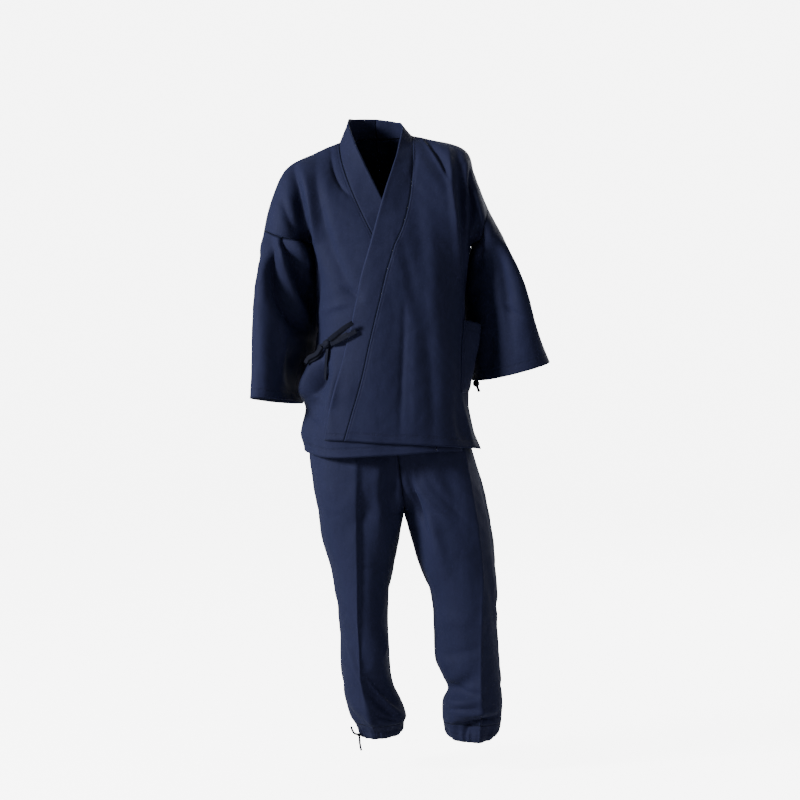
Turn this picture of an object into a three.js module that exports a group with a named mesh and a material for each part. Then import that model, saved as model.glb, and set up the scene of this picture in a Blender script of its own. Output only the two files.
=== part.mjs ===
// Samue: a work suit of plain navy cotton, a wrapped jacket and gathered trousers, in the shape
// they have when they are worn. Millimetres, +Z up. The front faces -Y and the wearer's left is +X.
// The origin lies midway between the two sides of the neck, where the wearer's shoulders hold it.

import * as THREE from 'three';
import { mergeVertices } from 'three/addons/utils/BufferGeometryUtils.js';

// Driving dimensions

const CLOTH_WALL = 2;
const BAND_WALL = 3;
const SEAM_GAP = 0.3;
const LAP = 6;
const UNDERARM_Z = -235;
const VENT_TOP_Z = -575;
const VENT_SPREAD = 16;
const TORSO_SIDE_Y = 5;
const TORSO_ROUNDNESS = 2.4;
const SLEEVE_ROUNDNESS = 2.2;
const LEG_ROUNDNESS = 2.15;
const CREASE_RISE = 5;
const CREASE_WIDTH = 0.22;
const WAIST_Z = -430;
const CROTCH_Z = -846;
const CASING_TOP_Z = -1335;
const WAISTBAND_HEIGHT = 38;
const TIE_WIDTH = 10;
const TIE_WALL = 2;
const CORD_DIAMETER = 4;
const POCKET_TOP_Z = -405;
const POCKET_SLOPE = 14;
const POCKET_BOTTOM_Z = -572;
const POCKET_OUTER = 0.975;
const POCKET_GAPE = 34;
const POCKET_LIFT = 0.9;

// How finely each surface is divided

const FRONT_COLUMNS = 12;
const NECK_COLUMNS = 4;
const SKIRT_ROWS = 12;
const YOKE_ROWS = 10;
const SLEEVE_ROWS = 12;
const COLLAR_COLUMNS = 3;
const LEG_COLUMNS = 10;
const POCKET_CELLS = 8;
const CASING_ROWS = 3;
const CASING_SPLIT = 2;
const TAPE_STEPS = 3;

// Tables

// Reads a table: a text that names its columns and rows sorted by their first number. Each column
// becomes a function that runs smoothly through its values.
function table(names, rows) {
  const keys = rows.map((row) => row[0]);
  const columns = names.split(' ').slice(1);
  return Object.fromEntries(
    columns.map((name, index) => [name, (at) => smoothValue(keys, rows.map((row) => row[index + 1]), at)]),
  );
}

// Cubic Hermite value at a place among the keys, with each slope taken over the two neighbours.
function smoothValue(keys, values, at) {
  const last = keys.length - 1;
  const place = Math.min(Math.max(at, keys[0]), keys[last]);
  let i = 0;
  while (i < last - 1 && place > keys[i + 1]) {
    i += 1;
  }
  const span = keys[i + 1] - keys[i];
  const slope = (k) => {
    const low = Math.max(k - 1, 0);
    const high = Math.min(k + 1, last);
    return (values[high] - values[low]) / (keys[high] - keys[low]);
  };
  const t = (place - keys[i]) / span;
  const rise = t * t * (3 - 2 * t);
  const startPull = t * (1 - t) * (1 - t) * span * slope(i);
  const endPull = t * t * (t - 1) * span * slope(i + 1);
  return values[i] * (1 - rise) + values[i + 1] * rise + startPull + endPull;
}

// The jacket's level sections: its reach to the wearer's right and left, to the front and the back.
const torso = table('z right left front back', [
  [-720, -168, 243, -151, 134],
  [-701, -165, 241, -149, 133],
  [-665, -173, 226, -147, 131],
  [-607, -163, 214, -144, 126],
  [-573, -175, 213, -142, 122],
  [-522, -155, 207, -139, 116],
  [-465, -134, 205, -137, 112],
  [-361, -136, 205, -133, 117],
  [-290, -138, 210, -130, 121],
  [-235, -145, 218, -127, 122],
]);

// The collar's seam and free edge on each front, below the underarm.
const collarLine = table('z rightSeam rightEdge leftSeam leftEdge', [
  [-720, 140, 200, -78, -129],
  [-672, 134, 194, -66, -117],
  [-545, 112, 172, -31, -87],
  [-465, 88, 148, -13, -67],
  [-407, 70, 130, 0, -53],
  [-361, 55, 115, 11, -44],
  [-304, 33, 92, 24, -32],
  [-235, 5, 62, 44, -12],
]);

// Hem heights across each front, from the collar seam (0) to the side seam (1), and across the back.
const hemLine = table('across right left back', [
  [0, -701, -676, -712],
  [0.3, -711, -684, -711],
  [0.55, -716, -691, -709],
  [0.8, -709, -697, -706],
  [1, -703, -703, -703],
]);

// The line over each shoulder, from the side of the neck (0) to the top of the sleeve seam (1).
const shoulder = table('across rightX rightY rightZ leftX leftY leftZ', [
  [0, -83, 15, 0, 83, 15, 16],
  [0.2, -136, 13, -22, 133, 14, 6],
  [0.4, -186, 11, -46, 185, 13, -7],
  [0.55, -213, 9, -69, 212, 12, -26],
  [0.7, -232, 7, -108, 224, 12, -66],
  [0.85, -246, 5, -152, 240, 12, -106],
  [1, -257, 5, -200, 256, 12, -145],
]);

// How a column of cloth leaves the shoulder line (first three) and reaches the underarm level (last
// three), as the pulls of a cubic curve. x is measured away from the body's middle.
const frontFall = table('across outX outY outZ inX inY inZ', [
  [0, 3, -85, -50, 46, 5, 84],
  [0.33, 0, -92, -12, 26, 2, 94],
  [0.62, 2, -106, -16, 20, -8, 92],
  [0.84, 0, -124, -16, 26, -66, 52],
  [1, -4, -120, -12, 26, -118, 4],
]);
const backFall = table('across outX outY outZ inX inY inZ', [
  [0, 0, 16, -60, 0, 2, 90],
  [0.25, 2, 74, -8, 6, 2, 100],
  [0.5, 0, 94, -12, 18, 2, 96],
  [0.72, 2, 106, -16, 20, 10, 90],
  [0.88, 0, 124, -16, 26, 66, 52],
  [1, -4, 138, -12, 26, 134, 4],
]);

// The collar's free edge above the underarm: 0 at the underarm level, 1 beside the neck, 2 at the
// centre back.
const collarTop = table('along rightX rightY rightZ leftX leftY leftZ', [
  [0, 62, -127, -235, -12, -133, -235],
  [0.25, 28, -117, -158, 1, -129, -186],
  [0.5, -4, -95, -94, 20, -117, -118],
  [0.75, -32, -69, -38, 40, -80, -55],
  [0.875, -50, -42, 2, 50, -48, -20],
  [1, -65, 2, 46, 61, 2, 34],
  [1.5, -47, 52, 56, 46, 52, 50],
  [2, 0, 72, 58, 0, 72, 58],
]);

// The sleeves' sections: outer and inner ends of the middle line, how far the back end leans in
// under the body, the depth and how much lower the back edge hangs.
const sleeves = {
  right: table('along outX outZ inX inZ lean middleY depth drop', [
    [0.1, -255, -236, -148, -262, 12, 8, 101, 0],
    [0.28, -254, -290, -149, -305, 44, 12, 105, 0],
    [0.5, -261, -404, -146, -412, 46, 14, 110, 4],
    [0.78, -271, -496, -164, -502, 38, 16, 112, 10],
    [1, -276, -580, -184, -584, 32, 18, 116, 18],
  ]),
  left: table('along outX outZ inX inZ lean middleY depth drop', [
    [0.1, 272, -186, 232, -256, 8, 13, 101, 0],
    [0.28, 292, -250, 222, -284, 38, 22, 100, 0],
    [0.5, 333, -361, 214, -384, 44, 30, 103, 2],
    [0.78, 369, -453, 222, -481, 38, 36, 104, 4],
    [1, 392, -499, 230, -545, 32, 38, 104, 6],
  ]),
};

// The trousers' sections: outer and inner side of each leg, where its front and its back stand out
// most, and where the pressed creases run. Above the crotch both legs end at the centre seam.
const legs = {
  right: table('z outer inner middleFront middleBack creaseFront creaseBack', [
    [-1372, -32, 54, 10, 12, 0, 10],
    [-1350, -42, 60, 8, 10, -4, 8],
    [-1335, -52, 66, 6, 10, -8, 6],
    [-1322, -60, 70, 4, 8, -12, 2],
    [-1286, -71, 58, -8, -2, -22, -8],
    [-1247, -78, 41, -18, -14, -31, -18],
    [-1212, -82, 34, -24, -20, -36, -22],
    [-1120, -85, 29, -28, -26, -41, -28],
    [-1044, -94, 30, -34, -30, -42, -31],
    [-975, -106, 42, -36, -32, -42, -33],
    [-902, -126, 55, -38, -36, -43, -36],
    [-846, -134, 64, -40, -38, -43, -38],
    [-786, -145, 59, -42, -42, -43, -42],
    [-704, -154, 50, -42, -45, -43, -45],
    [-600, -142, 43, -42, -42, -43, -42],
    [-500, -118, 39, -40, -40, -41, -40],
    [-430, -106, 37, -36, -36, -37, -36],
  ]),
  left: table('z outer inner middleFront middleBack creaseFront creaseBack', [
    [-1372, 275, 168, 224, 212, 236, 200],
    [-1350, 286, 160, 226, 210, 238, 194],
    [-1335, 290, 155, 226, 210, 240, 190],
    [-1322, 291, 153, 226, 210, 240, 188],
    [-1286, 292, 153, 226, 208, 240, 184],
    [-1258, 291, 165, 226, 208, 240, 182],
    [-1225, 289, 150, 224, 206, 240, 180],
    [-1185, 285, 135, 220, 202, 240, 177],
    [-1120, 281, 133, 214, 198, 241, 174],
    [-1051, 281, 127, 208, 192, 243, 171],
    [-975, 276, 101, 196, 178, 244, 162],
    [-902, 268, 79, 182, 166, 236, 152],
    [-846, 260, 64, 168, 152, 228, 142],
    [-786, 246, 59, 154, 138, 218, 132],
    [-704, 222, 50, 130, 124, 203, 122],
    [-600, 200, 43, 112, 112, 170, 115],
    [-500, 190, 39, 114, 112, 140, 112],
    [-430, 178, 37, 110, 110, 120, 110],
  ]),
};
const legDepth = table('z front back', [
  [-1372, -56, 62],
  [-1350, -62, 66],
  [-1335, -70, 70],
  [-1322, -76, 74],
  [-1247, -83, 81],
  [-1120, -92, 86],
  [-975, -104, 97],
  [-846, -114, 112],
  [-786, -114, 114],
  [-704, -108, 108],
  [-600, -102, 98],
  [-500, -98, 90],
  [-430, -96, 88],
]);
const centreSeam = table('z x', [
  [-846, 64],
  [-786, 59],
  [-704, 50],
  [-600, 43],
  [-430, 37],
]);

// Heights of the trousers' rows, closest together round the crotch, and how far the centre seam has
// turned under (90 degrees at the crotch) at the front and at the back.
const LEG_HEIGHTS = [
  -1335, -1322, -1304, -1284, -1258, -1230, -1195, -1150, -1100, -1045, -990, -940, -900, -870, -846,
  -839, -828, -812, -790, -760, -720, -660, -590, -510, -430,
];
const crotch = table('z front back', [
  [-846, 90, 90],
  [-840, 80, 82],
  [-831, 69, 73],
  [-817, 57, 64],
  [-798, 46, 55],
  [-770, 38, 46],
  [-735, 33, 39],
  [-690, 30, 33],
  [-600, 27, 28],
  [-430, 25, 25],
]);

// Hem height round each leg, from the inner side (0) to the outer side (1), the middle of each hem
// and its gathers.
const hemLevel = {
  right: table('place z', [
    [0, -1362],
    [0.5, -1367],
    [1, -1371],
  ]),
  left: table('place z', [
    [0, -1371],
    [0.45, -1376],
    [1, -1370],
  ]),
};
const hemCentre = { right: 12, left: 222 };
const gathers = {
  right: { count: 11, depth: 2.2, phase: 1.1 },
  left: { count: 8, depth: 1.6, phase: 0.8 },
};

// The pocket's inner edge across the left front, from its mouth (0) to its bottom (1).
const pocketEdge = table('down across', [
  [0, 0.785],
  [0.35, 0.74],
  [1, 0.69],
]);

// The bow on the right side and the paths of its tapes: x, z and how far the tape's middle lies off
// the right front's outer face.
const BOW = { x: -103, z: -460, lift: 9, width: 24, depth: 17, height: 18, tilt: 35, facing: 40 };
const TAPES = {
  tie_front: [
    [-61.2, -437, 4.6],
    [-76, -445, 5],
    [-86, -451.5, 5.5],
    [-95.2, -457.6, 6],
  ],
  tie_side: [
    [-130, -470, 3],
    [-122, -467, 4],
    [-112, -463.5, 6.2],
  ],
  bow_loop_upper: [
    [-93, -453.5, 13],
    [-76, -440, 19],
    [-54, -420, 21],
    [-43, -411, 24],
    [-54, -419, 28],
    [-76, -438, 26],
    [-93, -451, 18.4],
  ],
  bow_end_upper: [
    [-94.8, -461.2, 8.9],
    [-76, -453, 15],
    [-60, -444, 16.5],
    [-38, -431, 15],
  ],
  bow_loop_lower: [
    [-111.5, -467.5, 9],
    [-124, -488, 8],
    [-137, -506, 6],
    [-141, -513, 9],
    [-137, -505, 12.5],
    [-124, -486, 14],
    [-111, -467.5, 14],
  ],
  bow_end_lower: [
    [-104, -470.3, 6],
    [-108, -490, 6],
    [-118, -510, 6],
    [-127, -534, 7],
  ],
};

// The cords' knots and free ends.
const CORD_ENDS = [
  {
    knot: 'hem_knot_right',
    centre: [-39.1, -21.6, -1364],
    size: [9, 9, 8],
    ends: {
      hem_cord_right_upper: [
        [-42.4, -24.4, -1362.2],
        [-49, -32, -1357],
        [-53, -37, -1348],
        [-57, -42, -1337],
      ],
      hem_cord_right_lower: [
        [-38.6, -23.8, -1368],
        [-38, -30, -1375],
        [-37, -36, -1383],
        [-34, -43, -1396],
      ],
    },
  },
  {
    knot: 'hem_knot_left',
    centre: [236, 64.6, -1362],
    size: [9, 9, 8],
    ends: {
      hem_cord_left_upper: [
        [239.5, 67.3, -1360.2],
        [246, 72, -1356],
        [252, 75, -1349],
        [255, 78, -1337],
      ],
      hem_cord_left_lower: [
        [235.4, 66.8, -1366],
        [234, 73, -1374],
        [233, 77, -1383],
        [231, 79, -1395],
      ],
    },
  },
];

// The short knotted cord ends at the cuffs: the knot's middle and where its tail ends.
const CUFF_KNOTS = {
  cuff_knot_left: { centre: [231, 33, -554.2], tail: [238, 28, -573] },
  cuff_knot_right: { centre: [-198, 136.6, -580], tail: [-198, 139, -597] },
};
const CUFF_KNOT_SIZE = [17, 15, 13];
const CUFF_TAIL_WIDTH = 7;

// The main folds. Each runs from its start through its middle to its end, seen from the front (x and
// z), on the cloth that faces the front or the back. A ridge stands out and a trough sinks in by its
// rise at the middle, and it fades to nothing over its width and at its ends.
const FOLD_COLUMNS = ['cloth', 'face', 'x0', 'z0', 'x1', 'z1', 'x2', 'z2', 'width', 'rise'];
const FOLDS = [
  ['body', 'front', -186, -92, -168, -190, -140, -330, 24, -9],
  ['body', 'front', -205, -70, -190, -160, -152, -240, 22, 6],
  ['body', 'front', -133, -85, -106, -225, -72, -320, 34, 5],
  ['body', 'front', -104, -40, -90, -90, -66, -120, 18, -5],
  ['body', 'front', -82, -330, -60, -370, -44, -330, 22, -4],
  ['body', 'front', -128, -486, -150, -520, -176, -585, 18, 10],
  ['body', 'front', -112, -500, -128, -560, -150, -620, 20, -16],
  ['body', 'front', -88, -500, -84, -600, -92, -700, 30, 5],
  ['body', 'front', -140, -590, -142, -640, -150, -700, 20, -6],
  ['body', 'front', 104, 2, 150, -60, 176, -150, 18, -7],
  ['body', 'front', 132, -10, 182, -130, 186, -300, 26, 7],
  ['body', 'front', 205, -60, 216, -120, 213, -240, 20, -8],
  ['body', 'front', 96, -120, 100, -220, 110, -330, 30, -5],
  ['body', 'front', 60, -300, 68, -480, 62, -690, 34, -4],
  ['body', 'front', 132, -360, 140, -520, 150, -690, 36, 5],
  ['body', 'front', 176, -560, 190, -620, 208, -700, 22, -6],
  ['body', 'back', -60, -20, -150, -120, -190, -220, 30, -8],
  ['body', 'back', 60, -10, 150, -110, 200, -210, 30, -8],
  ['body', 'back', -110, -120, -100, -260, -60, -420, 34, 6],
  ['body', 'back', 160, -120, 160, -260, 130, -420, 34, 6],
  ['body', 'back', 36, -240, 40, -400, 42, -560, 40, -6],
  ['body', 'back', -70, -430, -84, -560, -96, -700, 34, 7],
  ['body', 'back', 104, -430, 140, -560, 158, -700, 34, 7],
  ['body', 'back', 10, -480, 0, -600, -6, -705, 30, -6],
  ['sleeve_right', 'front', -212, -205, -182, -290, -145, -395, 24, -15],
  ['sleeve_right', 'front', -196, -204, -168, -250, -150, -330, 16, 7],
  ['sleeve_right', 'front', -240, -215, -232, -345, -160, -440, 24, -13],
  ['sleeve_right', 'front', -262, -300, -252, -430, -250, -580, 30, 5],
  ['sleeve_right', 'front', -196, -470, -190, -520, -188, -585, 26, -10],
  ['sleeve_right', 'back', -170, -260, -200, -380, -262, -470, 28, -12],
  ['sleeve_right', 'back', -236, -230, -246, -340, -270, -420, 26, 8],
  ['sleeve_right', 'back', -200, -440, -212, -520, -214, -600, 30, -8],
  ['sleeve_left', 'front', 262, -228, 270, -285, 302, -372, 22, -12],
  ['sleeve_left', 'front', 240, -280, 262, -400, 268, -520, 26, -10],
  ['sleeve_left', 'front', 286, -250, 320, -350, 352, -470, 30, 7],
  ['sleeve_left', 'back', 226, -240, 270, -330, 340, -400, 28, -12],
  ['sleeve_left', 'back', 290, -220, 316, -330, 330, -470, 28, 8],
  ['sleeve_left', 'back', 250, -360, 262, -440, 272, -530, 26, -8],
  ['leg_right', 'front', 62, -740, 20, -800, -60, -880, 26, -7],
  ['leg_right', 'front', 60, -790, 40, -850, 20, -960, 22, 6],
  ['leg_right', 'front', -108, -720, -120, -820, -108, -960, 30, 5],
  ['leg_right', 'front', -24, -1215, 20, -1260, 52, -1318, 20, -9],
  ['leg_right', 'front', -78, -1100, -50, -1150, -24, -1210, 24, -6],
  ['leg_right', 'front', -60, -1270, -30, -1300, 4, -1312, 18, 6],
  ['leg_right', 'front', 32, -1110, 10, -1150, 8, -1190, 22, 5],
  ['leg_right', 'back', 50, -780, -10, -850, -80, -900, 30, -9],
  ['leg_right', 'back', 40, -860, 0, -920, -60, -960, 26, 7],
  ['leg_right', 'back', -60, -1010, -10, -1050, 24, -1060, 26, -8],
  ['leg_right', 'back', -66, -1080, -20, -1110, 26, -1110, 24, 6],
  ['leg_right', 'back', -66, -1230, 0, -1270, 50, -1300, 22, -8],
  ['leg_left', 'front', 66, -740, 100, -800, 150, -880, 26, -8],
  ['leg_left', 'front', 70, -800, 88, -850, 110, -950, 22, -9],
  ['leg_left', 'front', 96, -760, 130, -880, 140, -1000, 26, 6],
  ['leg_left', 'front', 165, -1258, 200, -1240, 235, -1210, 18, -9],
  ['leg_left', 'front', 180, -1345, 215, -1326, 288, -1318, 16, -8],
  ['leg_left', 'front', 160, -1290, 200, -1300, 260, -1290, 22, 6],
  ['leg_left', 'front', 140, -1110, 170, -1160, 190, -1230, 24, -6],
  ['leg_left', 'back', 70, -780, 140, -850, 220, -900, 30, -9],
  ['leg_left', 'back', 90, -860, 140, -920, 220, -960, 26, 7],
  ['leg_left', 'back', 130, -1010, 190, -1050, 262, -1060, 26, -8],
  ['leg_left', 'back', 140, -1090, 200, -1120, 262, -1110, 24, 6],
  ['leg_left', 'back', 168, -1250, 220, -1280, 284, -1300, 22, -8],
].map((row) => Object.fromEntries(FOLD_COLUMNS.map((name, index) => [name, row[index]])));

// Small helpers

const mix = (a, b, t) => a + (b - a) * t;
const radians = (degrees) => (degrees * Math.PI) / 180;
const signedPower = (value, power) => Math.sign(value) * Math.abs(value) ** power;

function step(low, high, value) {
  const t = Math.min(Math.max((value - low) / (high - low), 0), 1);
  return t * t * (3 - 2 * t);
}

function bezier(p0, p1, p2, p3, t) {
  const s = 1 - t;
  return p0
    .clone()
    .multiplyScalar(s * s * s)
    .addScaledVector(p1, 3 * s * s * t)
    .addScaledVector(p2, 3 * s * t * t)
    .addScaledVector(p3, t * t * t);
}

const V = (x, y, z) => new THREE.Vector3(x, y, z);
const sign = { right: -1, left: 1 };

// The jacket's surface

// A point of the body at one height. The angle is 0 at the front, -90 at the right side, 90 at the
// left side and 180 at the back.
function torsoPoint(z, angle) {
  const middle = (torso.left(z) + torso.right(z)) / 2;
  const half = (torso.left(z) - torso.right(z)) / 2;
  const power = 2 / TORSO_ROUNDNESS;
  const reach = Math.cos(angle) >= 0 ? torso.front(z) : torso.back(z);
  const x = middle + half * signedPower(Math.sin(angle), power);
  const y = TORSO_SIDE_Y + (reach - TORSO_SIDE_Y) * Math.abs(Math.cos(angle)) ** power;
  return V(x, y, z);
}

// The angle at which the body's front has a given x.
function frontAngle(z, x) {
  const middle = (torso.left(z) + torso.right(z)) / 2;
  const half = (torso.left(z) - torso.right(z)) / 2;
  return Math.asin(signedPower((x - middle) / half, TORSO_ROUNDNESS / 2));
}

// How far the left front stands off for the right front under it.
function lapOut(side, across, fromShoulder) {
  if (side === 'right') {
    return 0;
  }
  return LAP * (1 - step(0.68, 1, across)) * step(0.1, 0.6, fromShoulder);
}

// Below the vent's top the front and the back edge part from each other.
const ventOpening = (z) => VENT_SPREAD * step(0, 130, VENT_TOP_Z - z);

// Front, below the underarm. up is 0 at the hem and 1 at the underarm level.
function skirtFront(side, across, up) {
  const z = mix(hemLine[side](across), UNDERARM_Z, up);
  const start = frontAngle(z, collarLine[`${side}Seam`](z));
  const angle = mix(start, radians(90 * sign[side]), across);
  const point = torsoPoint(z, angle);
  const out = lapOut(side, across, 1);
  point.x += out * Math.sin(angle);
  point.y -= out * Math.cos(angle);
  point.y -= ventOpening(z) * step(0.7, 1, across);
  return point;
}

function skirtBack(side, across, up) {
  const z = mix(hemLine.back(across), UNDERARM_Z, up);
  const angle = mix(radians(180), radians(90), across) * sign[side];
  const point = torsoPoint(z, angle);
  point.y += ventOpening(z) * step(0.7, 1, across);
  return point;
}

const shoulderPoint = (side, across) =>
  V(shoulder[`${side}X`](across), shoulder[`${side}Y`](across), shoulder[`${side}Z`](across));

// The back neckline: a quarter of an oval from the side of the neck (0) to the centre back (1).
const NAPE = V(0, 85, 12);
function necklinePoint(side, round) {
  const start = shoulderPoint(side, 0);
  const turn = radians(90 * round);
  return V(
    start.x * Math.cos(turn),
    mix(start.y, NAPE.y, Math.sin(turn)),
    mix(start.z, NAPE.z, round * round * (3 - 2 * round)),
  );
}

function fallPoint(side, fall, across, top, bottom, down) {
  const outward = sign[side];
  const out = V(fall.outX(across) * outward, fall.outY(across), fall.outZ(across));
  const into = V(fall.inX(across) * outward, fall.inY(across), fall.inZ(across));
  return bezier(top, top.clone().add(out), bottom.clone().add(into), bottom, down);
}

// Front, above the underarm. down is 0 on the shoulder and 1 at the underarm level.
function yokeFront(side, across, down) {
  const flat = skirtFront(side, across, 1);
  const point = fallPoint(side, frontFall, across, shoulderPoint(side, across), flat, down);
  point.y -= lapOut(side, across, down) - lapOut(side, across, 1) * down ** 3;
  return point;
}

// Back, above the underarm. The first part of the top edge is the neckline, the rest the shoulder.
const NECK_SHARE = NECK_COLUMNS / (NECK_COLUMNS + FRONT_COLUMNS);
function yokeBack(side, across, down) {
  const onNeck = across < NECK_SHARE;
  const top = onNeck
    ? necklinePoint(side, 1 - across / NECK_SHARE)
    : shoulderPoint(side, (across - NECK_SHARE) / (1 - NECK_SHARE));
  return fallPoint(side, backFall, across, top, skirtBack(side, across, 1), down);
}

// A grid of points, with a function that gives the point at each pair of shares from 0 to 1.
function grid(columns, rows, pointAt, centre) {
  const points = [];
  for (let j = 0; j <= rows; j += 1) {
    for (let i = 0; i <= columns; i += 1) {
      points.push(pointAt(i / columns, j / rows, i, j));
    }
  }
  return { columns, rows, points, centre };
}

const TORSO_ROWS = SKIRT_ROWS + YOKE_ROWS;
const TORSO_CENTRE = V(36, 0, 0);

// A whole front or back: the rows run from the hem up to the underarm and on to the shoulder.
function bodyGrid(side, skirt, yoke, columns) {
  const pointAt = (across, _share, _i, j) =>
    j <= SKIRT_ROWS
      ? skirt(side, across, j / SKIRT_ROWS)
      : yoke(side, across, 1 - (j - SKIRT_ROWS) / YOKE_ROWS);
  return grid(columns, TORSO_ROWS, pointAt, TORSO_CENTRE);
}

const COLLAR_ROWS = TORSO_ROWS + NECK_COLUMNS;

// The collar: column 0 is its seam, the last column its free edge. The rows run from the hem up the
// front and round the neck to the centre back.
function collarGrid(side) {
  const edgeAt = (along) =>
    V(collarTop[`${side}X`](along), collarTop[`${side}Y`](along), collarTop[`${side}Z`](along));
  const pointAt = (out, _share, _i, j) => {
    if (j <= SKIRT_ROWS) {
      const up = j / SKIRT_ROWS;
      const seam = skirtFront(side, 0, up);
      const edgeX = collarLine[`${side}Edge`](seam.z);
      const rim = torsoPoint(seam.z, frontAngle(seam.z, mix(seam.x, edgeX, out)));
      return V(mix(seam.x, edgeX, out), rim.y - lapOut(side, 0, 1), seam.z);
    }
    const along = j <= TORSO_ROWS ? (j - SKIRT_ROWS) / YOKE_ROWS : 1 + (j - TORSO_ROWS) / NECK_COLUMNS;
    const seam = along <= 1 ? yokeFront(side, 0, 1 - along) : necklinePoint(side, along - 1);
    return seam.lerp(edgeAt(along), out);
  };
  return grid(COLLAR_COLUMNS, COLLAR_ROWS, pointAt, V(0, 0, 0));
}

const RING_COLUMNS = 2 * YOKE_ROWS;

// A sleeve: the first ring is the body's armhole, and every column runs smoothly through the
// sections to the cuff. The columns go from the top over the front to the underarm and round the back.
function sleeveGrid(side) {
  const sections = sleeves[side];
  const stations = [0, 0.1, 0.28, 0.5, 0.78, 1];
  const power = 2 / SLEEVE_ROUNDNESS;
  const ringPoint = (along, round) => {
    if (along === 0) {
      return round <= 0.5 ? yokeFront(side, 1, round * 2) : yokeBack(side, 1, 2 - round * 2);
    }
    const turn = radians(360 * round);
    const outward = signedPower(Math.cos(turn), power);
    const forward = signedPower(Math.sin(turn), power);
    const share = (1 + outward) / 2;
    return V(
      mix(sections.inX(along), sections.outX(along), share) + sign[side] * sections.lean(along) * forward,
      sections.middleY(along) - sections.depth(along) * forward,
      mix(sections.inZ(along), sections.outZ(along), share) - sections.drop(along) * (0.5 - forward / 2),
    );
  };
  const pointAt = (round, along) => {
    const rings = stations.map((station) => ringPoint(station, round % 1));
    return V(
      ...['x', 'y', 'z'].map((axis) => smoothValue(stations, rings.map((ring) => ring[axis]), along)),
    );
  };
  const middle = V((sections.outX(0.6) + sections.inX(0.6)) / 2, sections.middleY(0.6), 0);
  return grid(RING_COLUMNS, SLEEVE_ROWS, pointAt, middle);
}

// The trousers' surface

// A point of a leg at one height. inward is 1 at the inner seam (the centre seam above the crotch),
// 0 at the pressed crease and -1 at the side seam.
function legPoint(side, face, z, inward) {
  const shape = legs[side];
  const power = 2 / LEG_ROUNDNESS;
  const middleX = face === 'front' ? shape.middleFront(z) : shape.middleBack(z);
  const creaseX = face === 'front' ? shape.creaseFront(z) : shape.creaseBack(z);
  const open = z >= CROTCH_Z;
  const widest = open ? radians(crotch[face](z)) : radians(90);
  const innerReach = ((open ? centreSeam.x(z) : shape.inner(z)) - middleX) / Math.sin(widest) ** power;
  const outerReach = shape.outer(z) - middleX;
  const creaseSide = Math.sign((creaseX - middleX) * innerReach);
  const creaseShare = (creaseX - middleX) / (creaseSide > 0 ? innerReach : outerReach);
  const creaseAngle = creaseSide * Math.asin(creaseShare ** (1 / power));
  const angle = inward > 0 ? mix(creaseAngle, widest, inward) : mix(creaseAngle, radians(-90), -inward);
  const x = middleX + (angle > 0 ? innerReach : outerReach) * Math.abs(Math.sin(angle)) ** power;
  const press = CREASE_RISE * Math.exp(-Math.abs(angle - creaseAngle) / CREASE_WIDTH) * step(-650, -730, z);
  const middleY = (legDepth.front(z) + legDepth.back(z)) / 2;
  const reach = legDepth[face](z) - middleY;
  const flank = radians(90) - Math.abs(angle);
  const rounded = step(0, 0.5, flank) * press * Math.sign(reach);
  return V(x, middleY + reach * Math.abs(Math.cos(angle)) ** power + rounded, z);
}

function legGrid(side, face) {
  const rows = LEG_HEIGHTS.length - 1;
  const pointAt = (across, _share, _i, j) => {
    const inward = 1 - 2 * across;
    return legPoint(side, face, LEG_HEIGHTS[j], inward);
  };
  const middle = side === 'right' ? -30 : 190;
  return grid(LEG_COLUMNS, rows, pointAt, V(middle, 0, 0));
}

// Sewing: grids to pieces with walls

// Two triangles for each cell, turned so that they face away from the grid's centre line.
function triangles({ columns, rows, points, centre }) {
  const faces = [];
  let outward = 0;
  for (let j = 0; j < rows; j += 1) {
    for (let i = 0; i < columns; i += 1) {
      const a = j * (columns + 1) + i;
      const b = a + 1;
      const d = a + columns + 1;
      const c = d + 1;
      faces.push([a, b, c], [a, c, d]);
      const normal = points[c].clone().sub(points[a]).cross(points[d].clone().sub(points[b]));
      outward += normal.x * (points[a].x - centre.x) + normal.y * (points[a].y - centre.y);
    }
  }
  return outward >= 0 ? faces : faces.map(([a, b, c]) => [a, c, b]);
}

// Puts all grids of a garment on one list of shared points, so that both sides of a seam have the
// same points and the same normals.
function sew(pieces) {
  const shared = new Map();
  const points = [];
  const cloths = [];
  const sewn = pieces.map(({ name, grids, wall, cloth, kin = name }) => {
    const faces = [];
    const maps = [];
    for (const patch of grids) {
      const places = patch.points.map((point) => {
        const key = [point.x, point.y, point.z].map((value) => Math.round(value * 1000)).join(' ');
        if (!shared.has(key)) {
          shared.set(key, points.length);
          points.push(point.clone());
          cloths.push(new Set());
        }
        cloths[shared.get(key)].add(cloth);
        return shared.get(key);
      });
      maps.push(places);
      for (const face of triangles(patch)) {
        const corners = face.map((corner) => places[corner]);
        if (new Set(corners).size === 3) {
          faces.push(corners);
        }
      }
    }
    return { name, faces, wall, maps, kin };
  });
  return { points, cloths, pieces: sewn };
}

function normalsOf(points, faces) {
  const normals = points.map(() => V(0, 0, 0));
  for (const [a, b, c] of faces) {
    const normal = points[b].clone().sub(points[a]).cross(points[c].clone().sub(points[a]));
    for (const corner of [a, b, c]) {
      normals[corner].add(normal);
    }
  }
  return normals.map((normal) => normal.normalize());
}

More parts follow.
